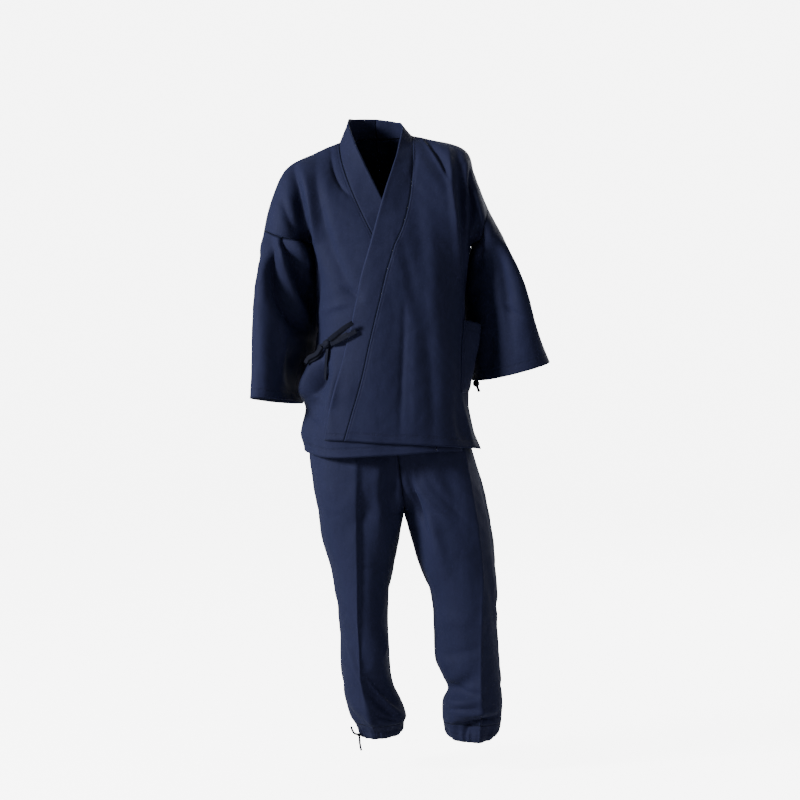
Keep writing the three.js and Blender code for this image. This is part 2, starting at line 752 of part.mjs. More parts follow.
// How much a fold lifts a point: a soft bump across the curve, fading at its two ends.
const FOLD_SAMPLES = 14;
function foldHeight(fold, x, z) {
  let nearest = Infinity;
  let place = 0;
  for (let k = 0; k <= FOLD_SAMPLES; k += 1) {
    const t = k / FOLD_SAMPLES;
    const px = mix(mix(fold.x0, fold.x1, t), mix(fold.x1, fold.x2, t), t);
    const pz = mix(mix(fold.z0, fold.z1, t), mix(fold.z1, fold.z2, t), t);
    const distance = Math.hypot(x - px, z - pz);
    if (distance < nearest) {
      nearest = distance;
      place = t;
    }
  }
  const across = Math.exp(-((nearest / fold.width) ** 2));
  return fold.rise * across * Math.sin(Math.PI * mix(0.12, 0.88, place));
}

// Lifts every point by the folds that cross it. Points on a level rim keep their height.
function pressFolds(garment, levels) {
  const faces = garment.pieces.flatMap((piece) => piece.faces);
  const level = garment.points.map((point) => levels.some((z) => Math.abs(point.z - z) < 0.01));
  const facingOut = () => {
    const normals = normalsOf(garment.points, faces);
    normals.forEach((normal, index) => {
      if (level[index]) {
        normal.setZ(0).normalize();
      }
    });
    return normals;
  };
  const normals = facingOut();
  garment.points.forEach((point, index) => {
    const normal = normals[index];
    let height = 0;
    for (const fold of FOLDS) {
      if (garment.cloths[index].has(fold.cloth)) {
        const facing = fold.face === 'front' ? -normal.y : normal.y;
        height += foldHeight(fold, point.x, point.z) * step(0.05, 0.5, facing);
      }
    }
    point.addScaledVector(normal, height);
  });
  garment.normals = facingOut();
  garment.level = level;
}

// The edges of a piece that only one of its faces uses, in the direction of that face.
function rimEdges(faces) {
  const edges = new Map();
  for (const [a, b, c] of faces) {
    for (const [from, to] of [
      [a, b],
      [b, c],
      [c, a],
    ]) {
      if (edges.has(`${to} ${from}`)) {
        edges.delete(`${to} ${from}`);
      } else {
        edges.set(`${from} ${to}`, [from, to]);
      }
    }
  }
  return [...edges.values()];
}

// Gives a piece its wall: an outer face, an inner face one wall thickness inside it and a rim
// between them. The rim is drawn back by half the seam gap. At a seam that turns outwards both
// pieces share its normals, and at one that turns inwards each keeps its own, or its kin's.
function thicken(garment, { faces, wall, kin }) {
  const { points, normals, level } = garment;
  const family = garment.pieces.filter((piece) => piece.kin === kin);
  const own = normalsOf(points, family.flatMap((piece) => piece.faces));
  const rim = rimEdges(faces);
  const pulls = new Map();
  for (const [from, to] of rim) {
    const along = points[to].clone().sub(points[from]);
    const inward = own[from].clone().add(own[to]).cross(along).normalize();
    for (const corner of [from, to]) {
      pulls.set(corner, (pulls.get(corner) ?? V(0, 0, 0)).add(inward));
    }
  }
  const used = [...new Set(faces.flat())];
  const place = new Map(used.map((corner, index) => [corner, index]));
  const outer = [];
  const inner = [];
  for (const corner of used) {
    const pull = pulls.get(corner);
    const point = points[corner].clone();
    const normal = normals[corner].clone();
    if (pull && level[corner]) {
      point.z += (Math.sign(pull.z) * SEAM_GAP) / 2;
    } else if (pull) {
      point.addScaledVector(pull, SEAM_GAP / Math.max(pull.lengthSq(), 1));
      const apart = 1 - step(0.2, 0.6, own[corner].dot(normal));
      const valley = Math.max(step(0.02, 0.25, pull.clone().normalize().dot(normal)), apart);
      normal.lerp(own[corner], valley).normalize();
    }
    outer.push(point);
    inner.push(point.clone().addScaledVector(normal, -wall));
  }
  const count = used.length;
  const skin = faces.map((face) => face.map((corner) => place.get(corner)));
  const lining = skin.map(([a, b, c]) => [a + count, c + count, b + count]);
  const edge = rim.flatMap(([from, to]) => {
    const a = place.get(from);
    const b = place.get(to);
    return [
      [b, a, a + count],
      [b, a + count, b + count],
    ];
  });
  return closedGeometry([...outer, ...inner], [...skin, ...lining, ...edge]);
}

function closedGeometry(points, faces) {
  const geometry = new THREE.BufferGeometry();
  const flat = points.flatMap((point) => [point.x, point.y, point.z]);
  geometry.setAttribute('position', new THREE.Float32BufferAttribute(flat, 3));
  geometry.setIndex(faces.flat());
  geometry.computeVertexNormals();
  return geometry;
}

// Finishes

const finish = (color, roughness) => new THREE.MeshStandardMaterial({ color, roughness, metalness: 0 });
const navyCotton = () => finish(0x1b2440, 0.82);
const navyBand = () => finish(0x1a2340, 0.8);
const navyTape = () => finish(0x182038, 0.78);
const navyCord = () => finish(0x12182b, 0.75);

const samue = new THREE.Group();

function addPiece(name, geometry, material) {
  const mesh = new THREE.Mesh(geometry, material);
  mesh.name = name;
  samue.add(mesh);
  return mesh;
}

// Jacket

const jacketPieces = [];
for (const side of ['right', 'left']) {
  jacketPieces.push({
    name: `body_${side}`,
    cloth: 'body',
    wall: CLOTH_WALL,
    grids: [
      bodyGrid(side, skirtFront, yokeFront, FRONT_COLUMNS),
      bodyGrid(side, skirtBack, yokeBack, FRONT_COLUMNS + NECK_COLUMNS),
    ],
  });
  jacketPieces.push({ name: `collar_${side}`, cloth: 'body', wall: BAND_WALL, grids: [collarGrid(side)] });
  jacketPieces.push({
    name: `sleeve_${side}`,
    cloth: `sleeve_${side}`,
    wall: CLOTH_WALL,
    grids: [sleeveGrid(side)],
  });
}
const jacket = sew(jacketPieces);
pressFolds(jacket, []);
for (const piece of jacket.pieces) {
  const material = piece.name.startsWith('collar') ? navyBand() : navyCotton();
  addPiece(piece.name, thicken(jacket, piece), material);
}

// Where the finished front lies: the body's grid read between its points, with the outward normal.
function clothAt(side, across, up) {
  const { maps } = jacket.pieces.find((piece) => piece.name === `body_${side}`);
  const i = Math.min(Math.floor(across * FRONT_COLUMNS), FRONT_COLUMNS - 1);
  const j = Math.min(Math.floor(up * SKIRT_ROWS), SKIRT_ROWS - 1);
  const s = across * FRONT_COLUMNS - i;
  const t = up * SKIRT_ROWS - j;
  const read = (list) => {
    const corner = (di, dj) => list[maps[0][(j + dj) * (FRONT_COLUMNS + 1) + i + di]].clone();
    return corner(0, 0).lerp(corner(1, 0), s).lerp(corner(0, 1).lerp(corner(1, 1), s), t);
  };
  return { point: read(jacket.points), normal: read(jacket.normals).normalize() };
}

// The same for a place given as seen from the front.
function clothOver(side, x, z) {
  const start = frontAngle(z, collarLine[`${side}Seam`](z));
  const across = (frontAngle(z, x) - start) / (radians(90 * sign[side]) - start);
  const hem = hemLine[side](across);
  return clothAt(side, across, (z - hem) / (UNDERARM_Z - hem));
}

// Pocket: laid on the left front, its mouth standing open.
function pocketGrid() {
  const pointAt = (beside, low) => {
    const across = mix(pocketEdge.across(low), POCKET_OUTER, beside);
    const z = mix(mix(POCKET_TOP_Z, POCKET_TOP_Z - POCKET_SLOPE, beside), POCKET_BOTTOM_Z, low);
    const hem = hemLine.left(across);
    const { point, normal } = clothAt('left', across, (z - hem) / (UNDERARM_Z - hem));
    const gape = POCKET_GAPE * Math.sin(Math.PI * beside ** 1.25) * (1 - low) ** 1.4;
    return point.addScaledVector(normal, POCKET_LIFT + CLOTH_WALL + gape);
  };
  return grid(POCKET_CELLS, POCKET_CELLS, pointAt, TORSO_CENTRE);
}
const patch = sew([{ name: 'pocket', cloth: 'pocket', wall: CLOTH_WALL, grids: [pocketGrid()] }]);
pressFolds(patch, []);
addPiece('pocket', thicken(patch, patch.pieces[0]), navyCotton());

// Ties: flat tapes carried along a path of places on the right front. lift is measured off the cloth.
function tapeGeometry(rows) {
  const route = rows.map(([x, z, lift]) => {
    const { point, normal } = clothOver('right', x, z);
    return { middle: point.addScaledVector(normal, lift), normal };
  });
  const curve = new THREE.CatmullRomCurve3(route.map(({ middle }) => middle), false, 'centripetal');
  const steps = TAPE_STEPS * (rows.length - 1);
  const points = [];
  for (let k = 0; k <= steps; k += 1) {
    const share = k / steps;
    const middle = curve.getPoint(share);
    const near = Math.min(Math.floor(share * (rows.length - 1)), rows.length - 2);
    const normal = route[near].normal.clone().lerp(route[near + 1].normal, share * (rows.length - 1) - near);
    const tangent = curve.getTangent(share);
    const across = normal.cross(tangent).normalize();
    const out = tangent.clone().cross(across).normalize();
    for (const [wide, high] of [
      [-1, 1],
      [1, 1],
      [1, -1],
      [-1, -1],
    ]) {
      const corner = middle.clone().addScaledVector(across, (wide * TIE_WIDTH) / 2);
      points.push(corner.addScaledVector(out, (high * TIE_WALL) / 2));
    }
  }
  return tubeFromRings(points, 4);
}

// A closed tube over rings of points, with a flat cap at each end.
function tubeFromRings(points, around) {
  const rings = points.length / around;
  const faces = [];
  for (let k = 0; k < rings - 1; k += 1) {
    for (let i = 0; i < around; i += 1) {
      const a = k * around + i;
      const b = k * around + ((i + 1) % around);
      faces.push([a, b + around, b], [a, a + around, b + around]);
    }
  }
  const last = (rings - 1) * around;
  for (let i = 1; i < around - 1; i += 1) {
    faces.push([0, i, i + 1], [last, last + i + 1, last + i]);
  }
  return closedGeometry(points, outwardFaces(points, faces));
}

function outwardFaces(points, faces) {
  const volume = faces.reduce((sum, [a, b, c]) => sum + points[a].dot(points[b].clone().cross(points[c])), 0);
  return volume >= 0 ? faces : faces.map(([a, b, c]) => [a, c, b]);
}

for (const [name, rows] of Object.entries(TAPES)) {
  addPiece(name, tapeGeometry(rows), navyTape());
}

// A drop: a rounded lump drawn out on one side into a short tail.
function knotWithTail(centre, size, tail) {
  const lump = mergeVertices(new THREE.IcosahedronGeometry(1, 2).deleteAttribute('normal').deleteAttribute('uv'));
  const place = lump.getAttribute('position');
  const reach = tail.clone().sub(centre);
  const along = reach.clone().normalize();
  for (let i = 0; i < place.count; i += 1) {
    const point = V(place.getX(i), place.getY(i), place.getZ(i));
    const share = step(0.72, 0.98, point.dot(along));
    const round = point.clone().multiply(size).multiplyScalar(0.5);
    const side = point.clone().addScaledVector(along, -point.dot(along));
    const end = reach.clone().addScaledVector(side, CUFF_TAIL_WIDTH);
    round.lerp(end, share).add(centre);
    place.setXYZ(i, round.x, round.y, round.z);
  }
  return lump;
}

// A knot: a rounded lump, turned to lie along its tape or cord.
function addKnot(name, centre, size, turn, material) {
  const lump = new THREE.IcosahedronGeometry(1, 1);
  lump.scale(size.x / 2, size.y / 2, size.z / 2);
  const mesh = addPiece(name, lump, material);
  mesh.position.copy(centre);
  mesh.rotation.copy(turn);
}
const bowPlace = clothOver('right', BOW.x, BOW.z);
addKnot(
  'bow_knot',
  bowPlace.point.clone().addScaledVector(bowPlace.normal, BOW.lift),
  V(BOW.width, BOW.depth, BOW.height),
  new THREE.Euler(0, radians(-BOW.tilt), radians(-BOW.facing), 'ZYX'),
  navyTape(),
);

// Trousers: the four panels

const trouserPieces = [];
for (const side of ['right', 'left']) {
  for (const face of ['front', 'back']) {
    trouserPieces.push({
      name: `trousers_${face}_${side}`,
      cloth: `leg_${side}`,
      kin: `leg_${side}`,
      wall: CLOTH_WALL,
      grids: [legGrid(side, face)],
    });
  }
}
const trousers = sew(trouserPieces);
pressFolds(trousers, [CASING_TOP_Z, WAIST_Z]);
for (const piece of trousers.pieces) {
  addPiece(piece.name, thicken(trousers, piece), navyCotton());
}

// The finished edge of a panel, from its inner to its outer side: row 0 is the hem, the last row the
// waist.
function panelEdge(side, face, row) {
  const { maps } = trousers.pieces.find((piece) => piece.name === `trousers_${face}_${side}`);
  const first = row * (LEG_COLUMNS + 1);
  return maps[0].slice(first, first + LEG_COLUMNS + 1).map((corner) => trousers.points[corner]);
}

// A ring of points with its steps divided further, each new point on the straight line between two.
function divideRing(ring, split) {
  return ring.flatMap((point, index) => {
    const next = ring[(index + 1) % ring.length];
    return Array.from({ length: split }, (_value, k) => point.clone().lerp(next, k / split));
  });
}

// Hem casings: each starts on the leg's edge and draws in to the hem, in gathers.
function casingGrid(side) {
  const top = divideRing(
    [...panelEdge(side, 'front', 0), ...panelEdge(side, 'back', 0).reverse().slice(1, -1)],
    CASING_SPLIT,
  );
  const pointAt = (round, low) => {
    const index = Math.round(round * top.length) % top.length;
    const place = (index / top.length) * 2;
    const z = mix(CASING_TOP_Z, hemLevel[side].z(place <= 1 ? place : 2 - place), low);
    const face = place <= 1 ? 'front' : 'back';
    const inward = place <= 1 ? 1 - 2 * place : 2 * place - 3;
    const free = legPoint(side, face, z, inward);
    const start = legPoint(side, face, CASING_TOP_Z, inward);
    const shift = top[index].clone().sub(start).multiplyScalar((1 - low) ** 2);
    const point = low === 0 ? top[index].clone() : free.add(V(shift.x, shift.y, 0));
    const centre = V(hemCentre[side], 3, point.z);
    const gather = gathers[side];
    const wave = Math.cos(Math.PI * 2 * gather.count * round + gather.phase * Math.sin(6 * Math.PI * round));
    const depth = gather.depth * wave * step(0, 0.45, low);
    return point.addScaledVector(point.clone().sub(centre).normalize(), depth);
  };
  return grid(top.length, CASING_ROWS, pointAt, V(hemCentre[side], 3, 0));
}

for (const side of ['right', 'left']) {
  const casing = sew([{ name: `hem_casing_${side}`, cloth: 'casing', wall: BAND_WALL, grids: [casingGrid(side)] }]);
  pressFolds(casing, [CASING_TOP_Z]);
  addPiece(`hem_casing_${side}`, thicken(casing, casing.pieces[0]), navyBand());
}

// Waistband: a plain level band on the trousers' upper edge.
function waistbandGrid() {
  const row = LEG_HEIGHTS.length - 1;
  const ring = [
    ...panelEdge('right', 'front', row),
    ...panelEdge('right', 'back', row).reverse().slice(1),
    ...panelEdge('left', 'back', row).slice(1),
    ...panelEdge('left', 'front', row).reverse().slice(1, -1),
  ];
  const pointAt = (round, high) => {
    const point = ring[Math.round(round * ring.length) % ring.length].clone();
    point.z += WAISTBAND_HEIGHT * high;
    return point;
  };
  return grid(ring.length, 2, pointAt, V(36, 0, 0));
}
const band = sew([{ name: 'waistband', cloth: 'band', wall: BAND_WALL, grids: [waistbandGrid()] }]);
pressFolds(band, [WAIST_Z]);
addPiece('waistband', thicken(band, band.pieces[0]), navyBand());

// Cords at the hems and cuffs: a knot with its free ends.
function addCord(name, points) {
  const section = new THREE.Shape();
  section.absarc(0, 0, CORD_DIAMETER / 2, 0, 2 * Math.PI);
  const path = new THREE.CatmullRomCurve3(points.map((point) => V(...point)));
  const steps = Math.ceil(path.getLength() / CORD_DIAMETER / 2);
  const options = { steps, curveSegments: 4, bevelEnabled: false, extrudePath: path };
  addPiece(name, new THREE.ExtrudeGeometry(section, options), navyCord());
}
for (const [name, { centre, tail }] of Object.entries(CUFF_KNOTS)) {
  addPiece(name, knotWithTail(V(...centre), V(...CUFF_KNOT_SIZE), V(...tail)), navyCord());
}
for (const { knot, centre, size, ends } of CORD_ENDS) {
  addKnot(knot, V(...centre), V(...size), new THREE.Euler(), navyCord());
  for (const [name, points] of Object.entries(ends)) {
    addCord(name, points);
  }
}

export default samue;
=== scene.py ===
"""Samue: a wrapped jacket and gathered trousers of plain navy cotton, finished over the CAD frame.

Every piece of cloth is a surface of two parameters, across and along, in millimetres. Its tables are those of
the solids, with some stations, creases and folds drawn closer to the photograph, and it is divided more
finely. The folds are pressed in along given curves, on one shared cloth for each garment, so that seams stay
closed. Metres are used only for finished meshes.
"""

import functools
import math

import bpy
import numpy as np
from mathutils import Matrix


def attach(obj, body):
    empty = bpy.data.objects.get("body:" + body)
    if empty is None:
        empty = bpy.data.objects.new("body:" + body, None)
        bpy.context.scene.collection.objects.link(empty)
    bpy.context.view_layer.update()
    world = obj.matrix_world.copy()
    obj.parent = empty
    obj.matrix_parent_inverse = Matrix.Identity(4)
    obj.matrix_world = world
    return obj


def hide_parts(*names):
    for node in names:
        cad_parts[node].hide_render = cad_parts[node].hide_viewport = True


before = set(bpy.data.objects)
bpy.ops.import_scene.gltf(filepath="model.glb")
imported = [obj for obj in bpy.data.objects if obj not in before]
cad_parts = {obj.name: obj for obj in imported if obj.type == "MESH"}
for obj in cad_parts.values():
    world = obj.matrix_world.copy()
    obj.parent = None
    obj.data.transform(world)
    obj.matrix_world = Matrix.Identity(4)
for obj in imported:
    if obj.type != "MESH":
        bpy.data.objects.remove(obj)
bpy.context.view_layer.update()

bl_info = {
    "name": "Samue",
    "version": (1, 0, 0),
    "blender": (4, 5, 0),
    "location": "View3D > Sidebar > Samue",
    "description": "Builds the cloth, ties and cords of a samue over its solids",
    "category": "Add Mesh",
}

# Lengths are in millimetres, CREASE_WIDTH and SIDE_FADE in radians. A roundness, POCKET_GAPE_LEAN and
# POCKET_GAPE_SINK are exponents. Edges, LAP_TOP, CREASE_FADE and POCKET_OUTER are shares of a side.
# POCKET_BORDER says how quickly the pocket rises from its sides and from its bottom.
MM = 0.001
UNDERARM_Z = -235
VENT_TOP_Z = -575
VENT_SPREAD = 16
VENT_FULL = 130
VENT_EDGE = 0.7
LAP = 6
LAP_EDGE = 0.68
LAP_TOP = (0.1, 0.6)
TORSO_SIDE_Y = 5
TORSO_ROUNDNESS = 2.4
SLEEVE_ROUNDNESS = 2.2
LEG_ROUNDNESS = 2.15
CREASE_RISE = 10
CREASE_WIDTH = 0.2
CREASE_TOP = (-650, -730)
CREASE_FADE = 0.3
SIDE_FADE = 0.5
WAIST_Z = -430
CROTCH_Z = -846
CASING_TOP_Z = -1335
WAISTBAND_HEIGHT = 38
POCKET_TOP_Z = -405
POCKET_SLOPE = 22
POCKET_BOTTOM_Z = -572
POCKET_OUTER = 0.975
POCKET_GAPE = 34
POCKET_GAPE_LEAN = 1.25
POCKET_GAPE_SINK = 1.6
POCKET_CLEARANCE = 0.15
POCKET_SWELL = 1.6
POCKET_BORDER = (9, 12)
NAPE = (0, 85, 12)
SIGN = {"right": -1, "left": 1}

# How finely each surface is divided.
FRONT_COLUMNS = 96
NECK_COLUMNS = 32
SKIRT_ROWS = 96
YOKE_ROWS = 80
SLEEVE_ROWS = 96
COLLAR_COLUMNS = 12
LEG_COLUMNS = 72
LEG_SPLIT = 6
POCKET_CELLS = 44
PATH_POINTS = {"tape": 48, "cord": 44}
CASING_COLUMNS = 288
CASING_ROWS = 18
BAND_ROWS = 8


def hermite(keys, values, at):
    """A value between the rows of a table: a cubic with each slope taken over the two neighbours."""
    keys, values, at = np.asarray(keys, float), np.asarray(values, float), np.asarray(at, float)
    at = np.clip(at, keys[0], keys[-1])
    last = len(keys) - 1
    i = np.clip(np.searchsorted(keys, at, "left") - 1, 0, last - 1)
    low, high = np.maximum(np.arange(last + 1) - 1, 0), np.minimum(np.arange(last + 1) + 1, last)
    wide = (slice(None),) + (None,) * (values.ndim - 1)
    slopes = (values[high] - values[low]) / (keys[high] - keys[low])[wide]
    span = keys[i + 1] - keys[i]
    t = (at - keys[i]) / span
    rise, start, end = t * t * (3 - 2 * t), t * (1 - t) ** 2 * span, t * t * (t - 1) * span
    if values.ndim > 1:
        rise, start, end = rise[..., None, None], start[..., None, None], end[..., None, None]
    return values[i] * (1 - rise) + values[i + 1] * rise + start * slopes[i] + end * slopes[i + 1]


class Table:
    """Rows of numbers sorted by the first one. table("column", at) reads a column smoothly."""

    def __init__(self, names, rows):
        numbers = np.array(rows, float)
        self.keys = numbers[:, 0]
        self.columns = dict(zip(names.split()[1:], numbers[:, 1:].T))

    def __call__(self, name, at):
        return hermite(self.keys, self.columns[name], at)


# The jacket's level sections: its reach to the right and left, to the front and the back.
TORSO = Table("z right left front back", [
    (-720, -168, 243, -151, 134), (-701, -165, 241, -149, 133), (-665, -173, 226, -147, 131),
    (-607, -163, 214, -144, 126), (-573, -175, 213, -142, 122), (-522, -155, 207, -139, 116),
    (-465, -134, 205, -137, 112), (-361, -136, 205, -133, 117), (-290, -138, 210, -130, 121),
    (-235, -145, 218, -127, 122),
])
# The collar's seam and free edge on each front, below the underarm.
COLLAR_LINE = Table("z rightSeam rightEdge leftSeam leftEdge", [
    (-720, 140, 200, -78, -129), (-672, 134, 194, -66, -117), (-545, 112, 172, -31, -87),
    (-465, 88, 148, -13, -67), (-407, 70, 130, 0, -53), (-361, 55, 115, 11, -44), (-304, 33, 92, 24, -32),
    (-235, 5, 62, 44, -12),
])
# Hem heights across each front, from the collar seam (0) to the side seam (1), and across the back.
HEM_LINE = Table("across right left back", [
    (0, -701, -676, -712), (0.3, -711, -684, -711), (0.55, -716, -691, -709), (0.8, -709, -697, -706),
    (1, -703, -703, -703),
])
# The line over each shoulder, from the side of the neck (0) to the top of the sleeve seam (1).
SHOULDER = Table("across rightX rightY rightZ leftX leftY leftZ", [
    (0, -83, 15, 0, 83, 15, 16), (0.2, -136, 13, -22, 133, 14, 6), (0.4, -186, 11, -46, 185, 13, -7),
    (0.55, -213, 9, -69, 212, 12, -26), (0.7, -232, 7, -108, 224, 12, -66),
    (0.85, -246, 5, -152, 240, 12, -106), (1, -257, 5, -200, 256, 12, -145),
])
# How a column of cloth leaves the shoulder line and reaches the underarm level.
FRONT_FALL = Table("across outX outY outZ inX inY inZ", [
    (0, 3, -85, -50, 46, 5, 84), (0.33, 0, -92, -12, 26, 2, 94), (0.62, 2, -106, -16, 20, -8, 92),
    (0.84, 0, -124, -16, 26, -66, 52), (1, -4, -120, -12, 26, -118, 4),
])
BACK_FALL = Table("across outX outY outZ inX inY inZ", [
    (0, 0, 16, -60, 0, 2, 90), (0.25, 2, 74, -8, 6, 2, 100), (0.5, 0, 94, -12, 18, 2, 96),
    (0.72, 2, 106, -16, 20, 10, 90), (0.88, 0, 124, -16, 26, 66, 52), (1, -4, 138, -12, 26, 134, 4),
])
# The collar's free edge above the underarm: 0 underarm level, 1 beside the neck, 2 centre back.
COLLAR_TOP = Table("along rightX rightY rightZ leftX leftY leftZ", [
    (0, 62, -127, -235, -12, -133, -235), (0.25, 28, -117, -158, 1, -129, -186),
    (0.5, -4, -95, -94, 20, -117, -118), (0.75, -32, -69, -38, 40, -80, -55),
    (0.875, -50, -42, 2, 50, -48, -20), (1, -65, 2, 46, 61, 2, 34), (1.5, -47, 52, 56, 46, 52, 50),
    (2, 0, 72, 58, 0, 72, 58),
])
# The trousers' reach to the front and the back.
LEG_DEPTH = Table("z front back", [
    (-1372, -56, 62), (-1350, -62, 66), (-1335, -70, 70), (-1322, -76, 74), (-1247, -83, 81),
    (-1120, -92, 86), (-975, -104, 97), (-846, -114, 112), (-786, -114, 114), (-704, -108, 108),
    (-600, -102, 98), (-500, -98, 90), (-430, -96, 88),
])
# The trousers' centre seam.
CENTRE_SEAM = Table("z x", [(-846, 64), (-786, 59), (-704, 50), (-600, 43), (-430, 37)])
# How far the centre seam has turned under at the front and the back, in degrees.
CROTCH = Table("z front back", [
    (-846, 90, 90), (-840, 80, 82), (-831, 69, 73), (-817, 57, 64), (-798, 46, 55), (-770, 38, 46),
    (-735, 33, 39), (-690, 30, 33), (-600, 27, 28), (-430, 25, 25),
])
# The pocket's inner edge across the left front, from its mouth (0) to its bottom (1).
POCKET_EDGE = Table("down across", [(0, 0.785), (0.35, 0.74), (1, 0.69)])
# The sleeves' sections: ends of the middle line, lean of the back end, depth and drop.
SLEEVES = {
    "right": Table("along outX outZ inX inZ lean middleY depth drop", [
        (0.1, -261, -236, -142, -260, 14, 8, 101, 0), (0.28, -253, -290, -139, -305, 42, 12, 105, 0),
        (0.5, -261, -404, -143, -412, 46, 14, 110, 4), (0.78, -271, -496, -162, -502, 38, 16, 112, 12),
        (1, -276, -580, -184, -584, 32, 18, 116, 24),
    ]),
    "left": Table("along outX outZ inX inZ lean middleY depth drop", [
        (0.1, 272, -186, 218, -258, 12, 13, 101, 0), (0.28, 292, -250, 213, -288, 38, 22, 100, 0),
        (0.5, 333, -361, 214, -384, 44, 30, 103, 2), (0.78, 369, -453, 222, -481, 38, 36, 104, 4),
        (1, 392, -499, 230, -545, 32, 38, 104, 6),
    ]),
}
# The trousers' sections: sides of each leg, where it stands out most, and its pressed creases.
LEGS = {
    "right": Table("z outer inner middleFront middleBack creaseFront creaseBack", [
        (-1372, -32, 54, 10, 12, 0, 10), (-1350, -42, 60, 8, 10, -4, 8), (-1335, -52, 66, 6, 10, -8, 6),
        (-1322, -60, 70, 4, 8, -12, 2), (-1286, -71, 58, -8, -2, -22, -8),
        (-1247, -78, 41, -18, -14, -31, -18), (-1212, -82, 34, -24, -20, -36, -22),
        (-1120, -85, 29, -28, -26, -41, -28), (-1044, -94, 30, -34, -30, -42, -31),
        (-975, -106, 42, -36, -32, -42, -33), (-902, -126, 55, -38, -36, -43, -36),
        (-846, -134, 64, -40, -38, -43, -38), (-786, -145, 59, -42, -42, -43, -42),
        (-704, -154, 50, -42, -45, -43, -45), (-600, -142, 43, -42, -42, -43, -42),
        (-500, -118, 39, -40, -40, -41, -40), (-430, -106, 37, -36, -36, -37, -36),
    ]),
    "left": Table("z outer inner middleFront middleBack creaseFront creaseBack", [
        (-1372, 275, 168, 224, 212, 236, 200), (-1350, 286, 160, 226, 210, 238, 194),
        (-1335, 290, 155, 226, 210, 240, 190), (-1322, 291, 153, 226, 210, 240, 188),
        (-1286, 292, 153, 226, 208, 240, 184), (-1258, 291, 165, 226, 208, 240, 182),
        (-1225, 289, 150, 224, 206, 240, 180), (-1185, 285, 135, 220, 202, 240, 177),
        (-1120, 281, 133, 214, 198, 241, 174), (-1051, 281, 127, 208, 192, 243, 171),
        (-975, 276, 101, 196, 178, 244, 162), (-902, 268, 79, 182, 166, 236, 152),
        (-846, 260, 64, 168, 152, 228, 142), (-786, 246, 59, 154, 138, 218, 132),
        (-704, 222, 50, 130, 124, 203, 122), (-600, 200, 43, 112, 112, 170, 115),
        (-500, 190, 39, 114, 112, 140, 112), (-430, 178, 37, 110, 110, 120, 110),
    ]),
}
# Hem height round each leg, from the inner side (0) to the outer side (1).
HEM_LEVEL = {
    "right": Table("place z", [(0, -1362), (0.5, -1367), (1, -1371)]),
    "left": Table("place z", [(0, -1371), (0.45, -1376), (1, -1370)]),
}
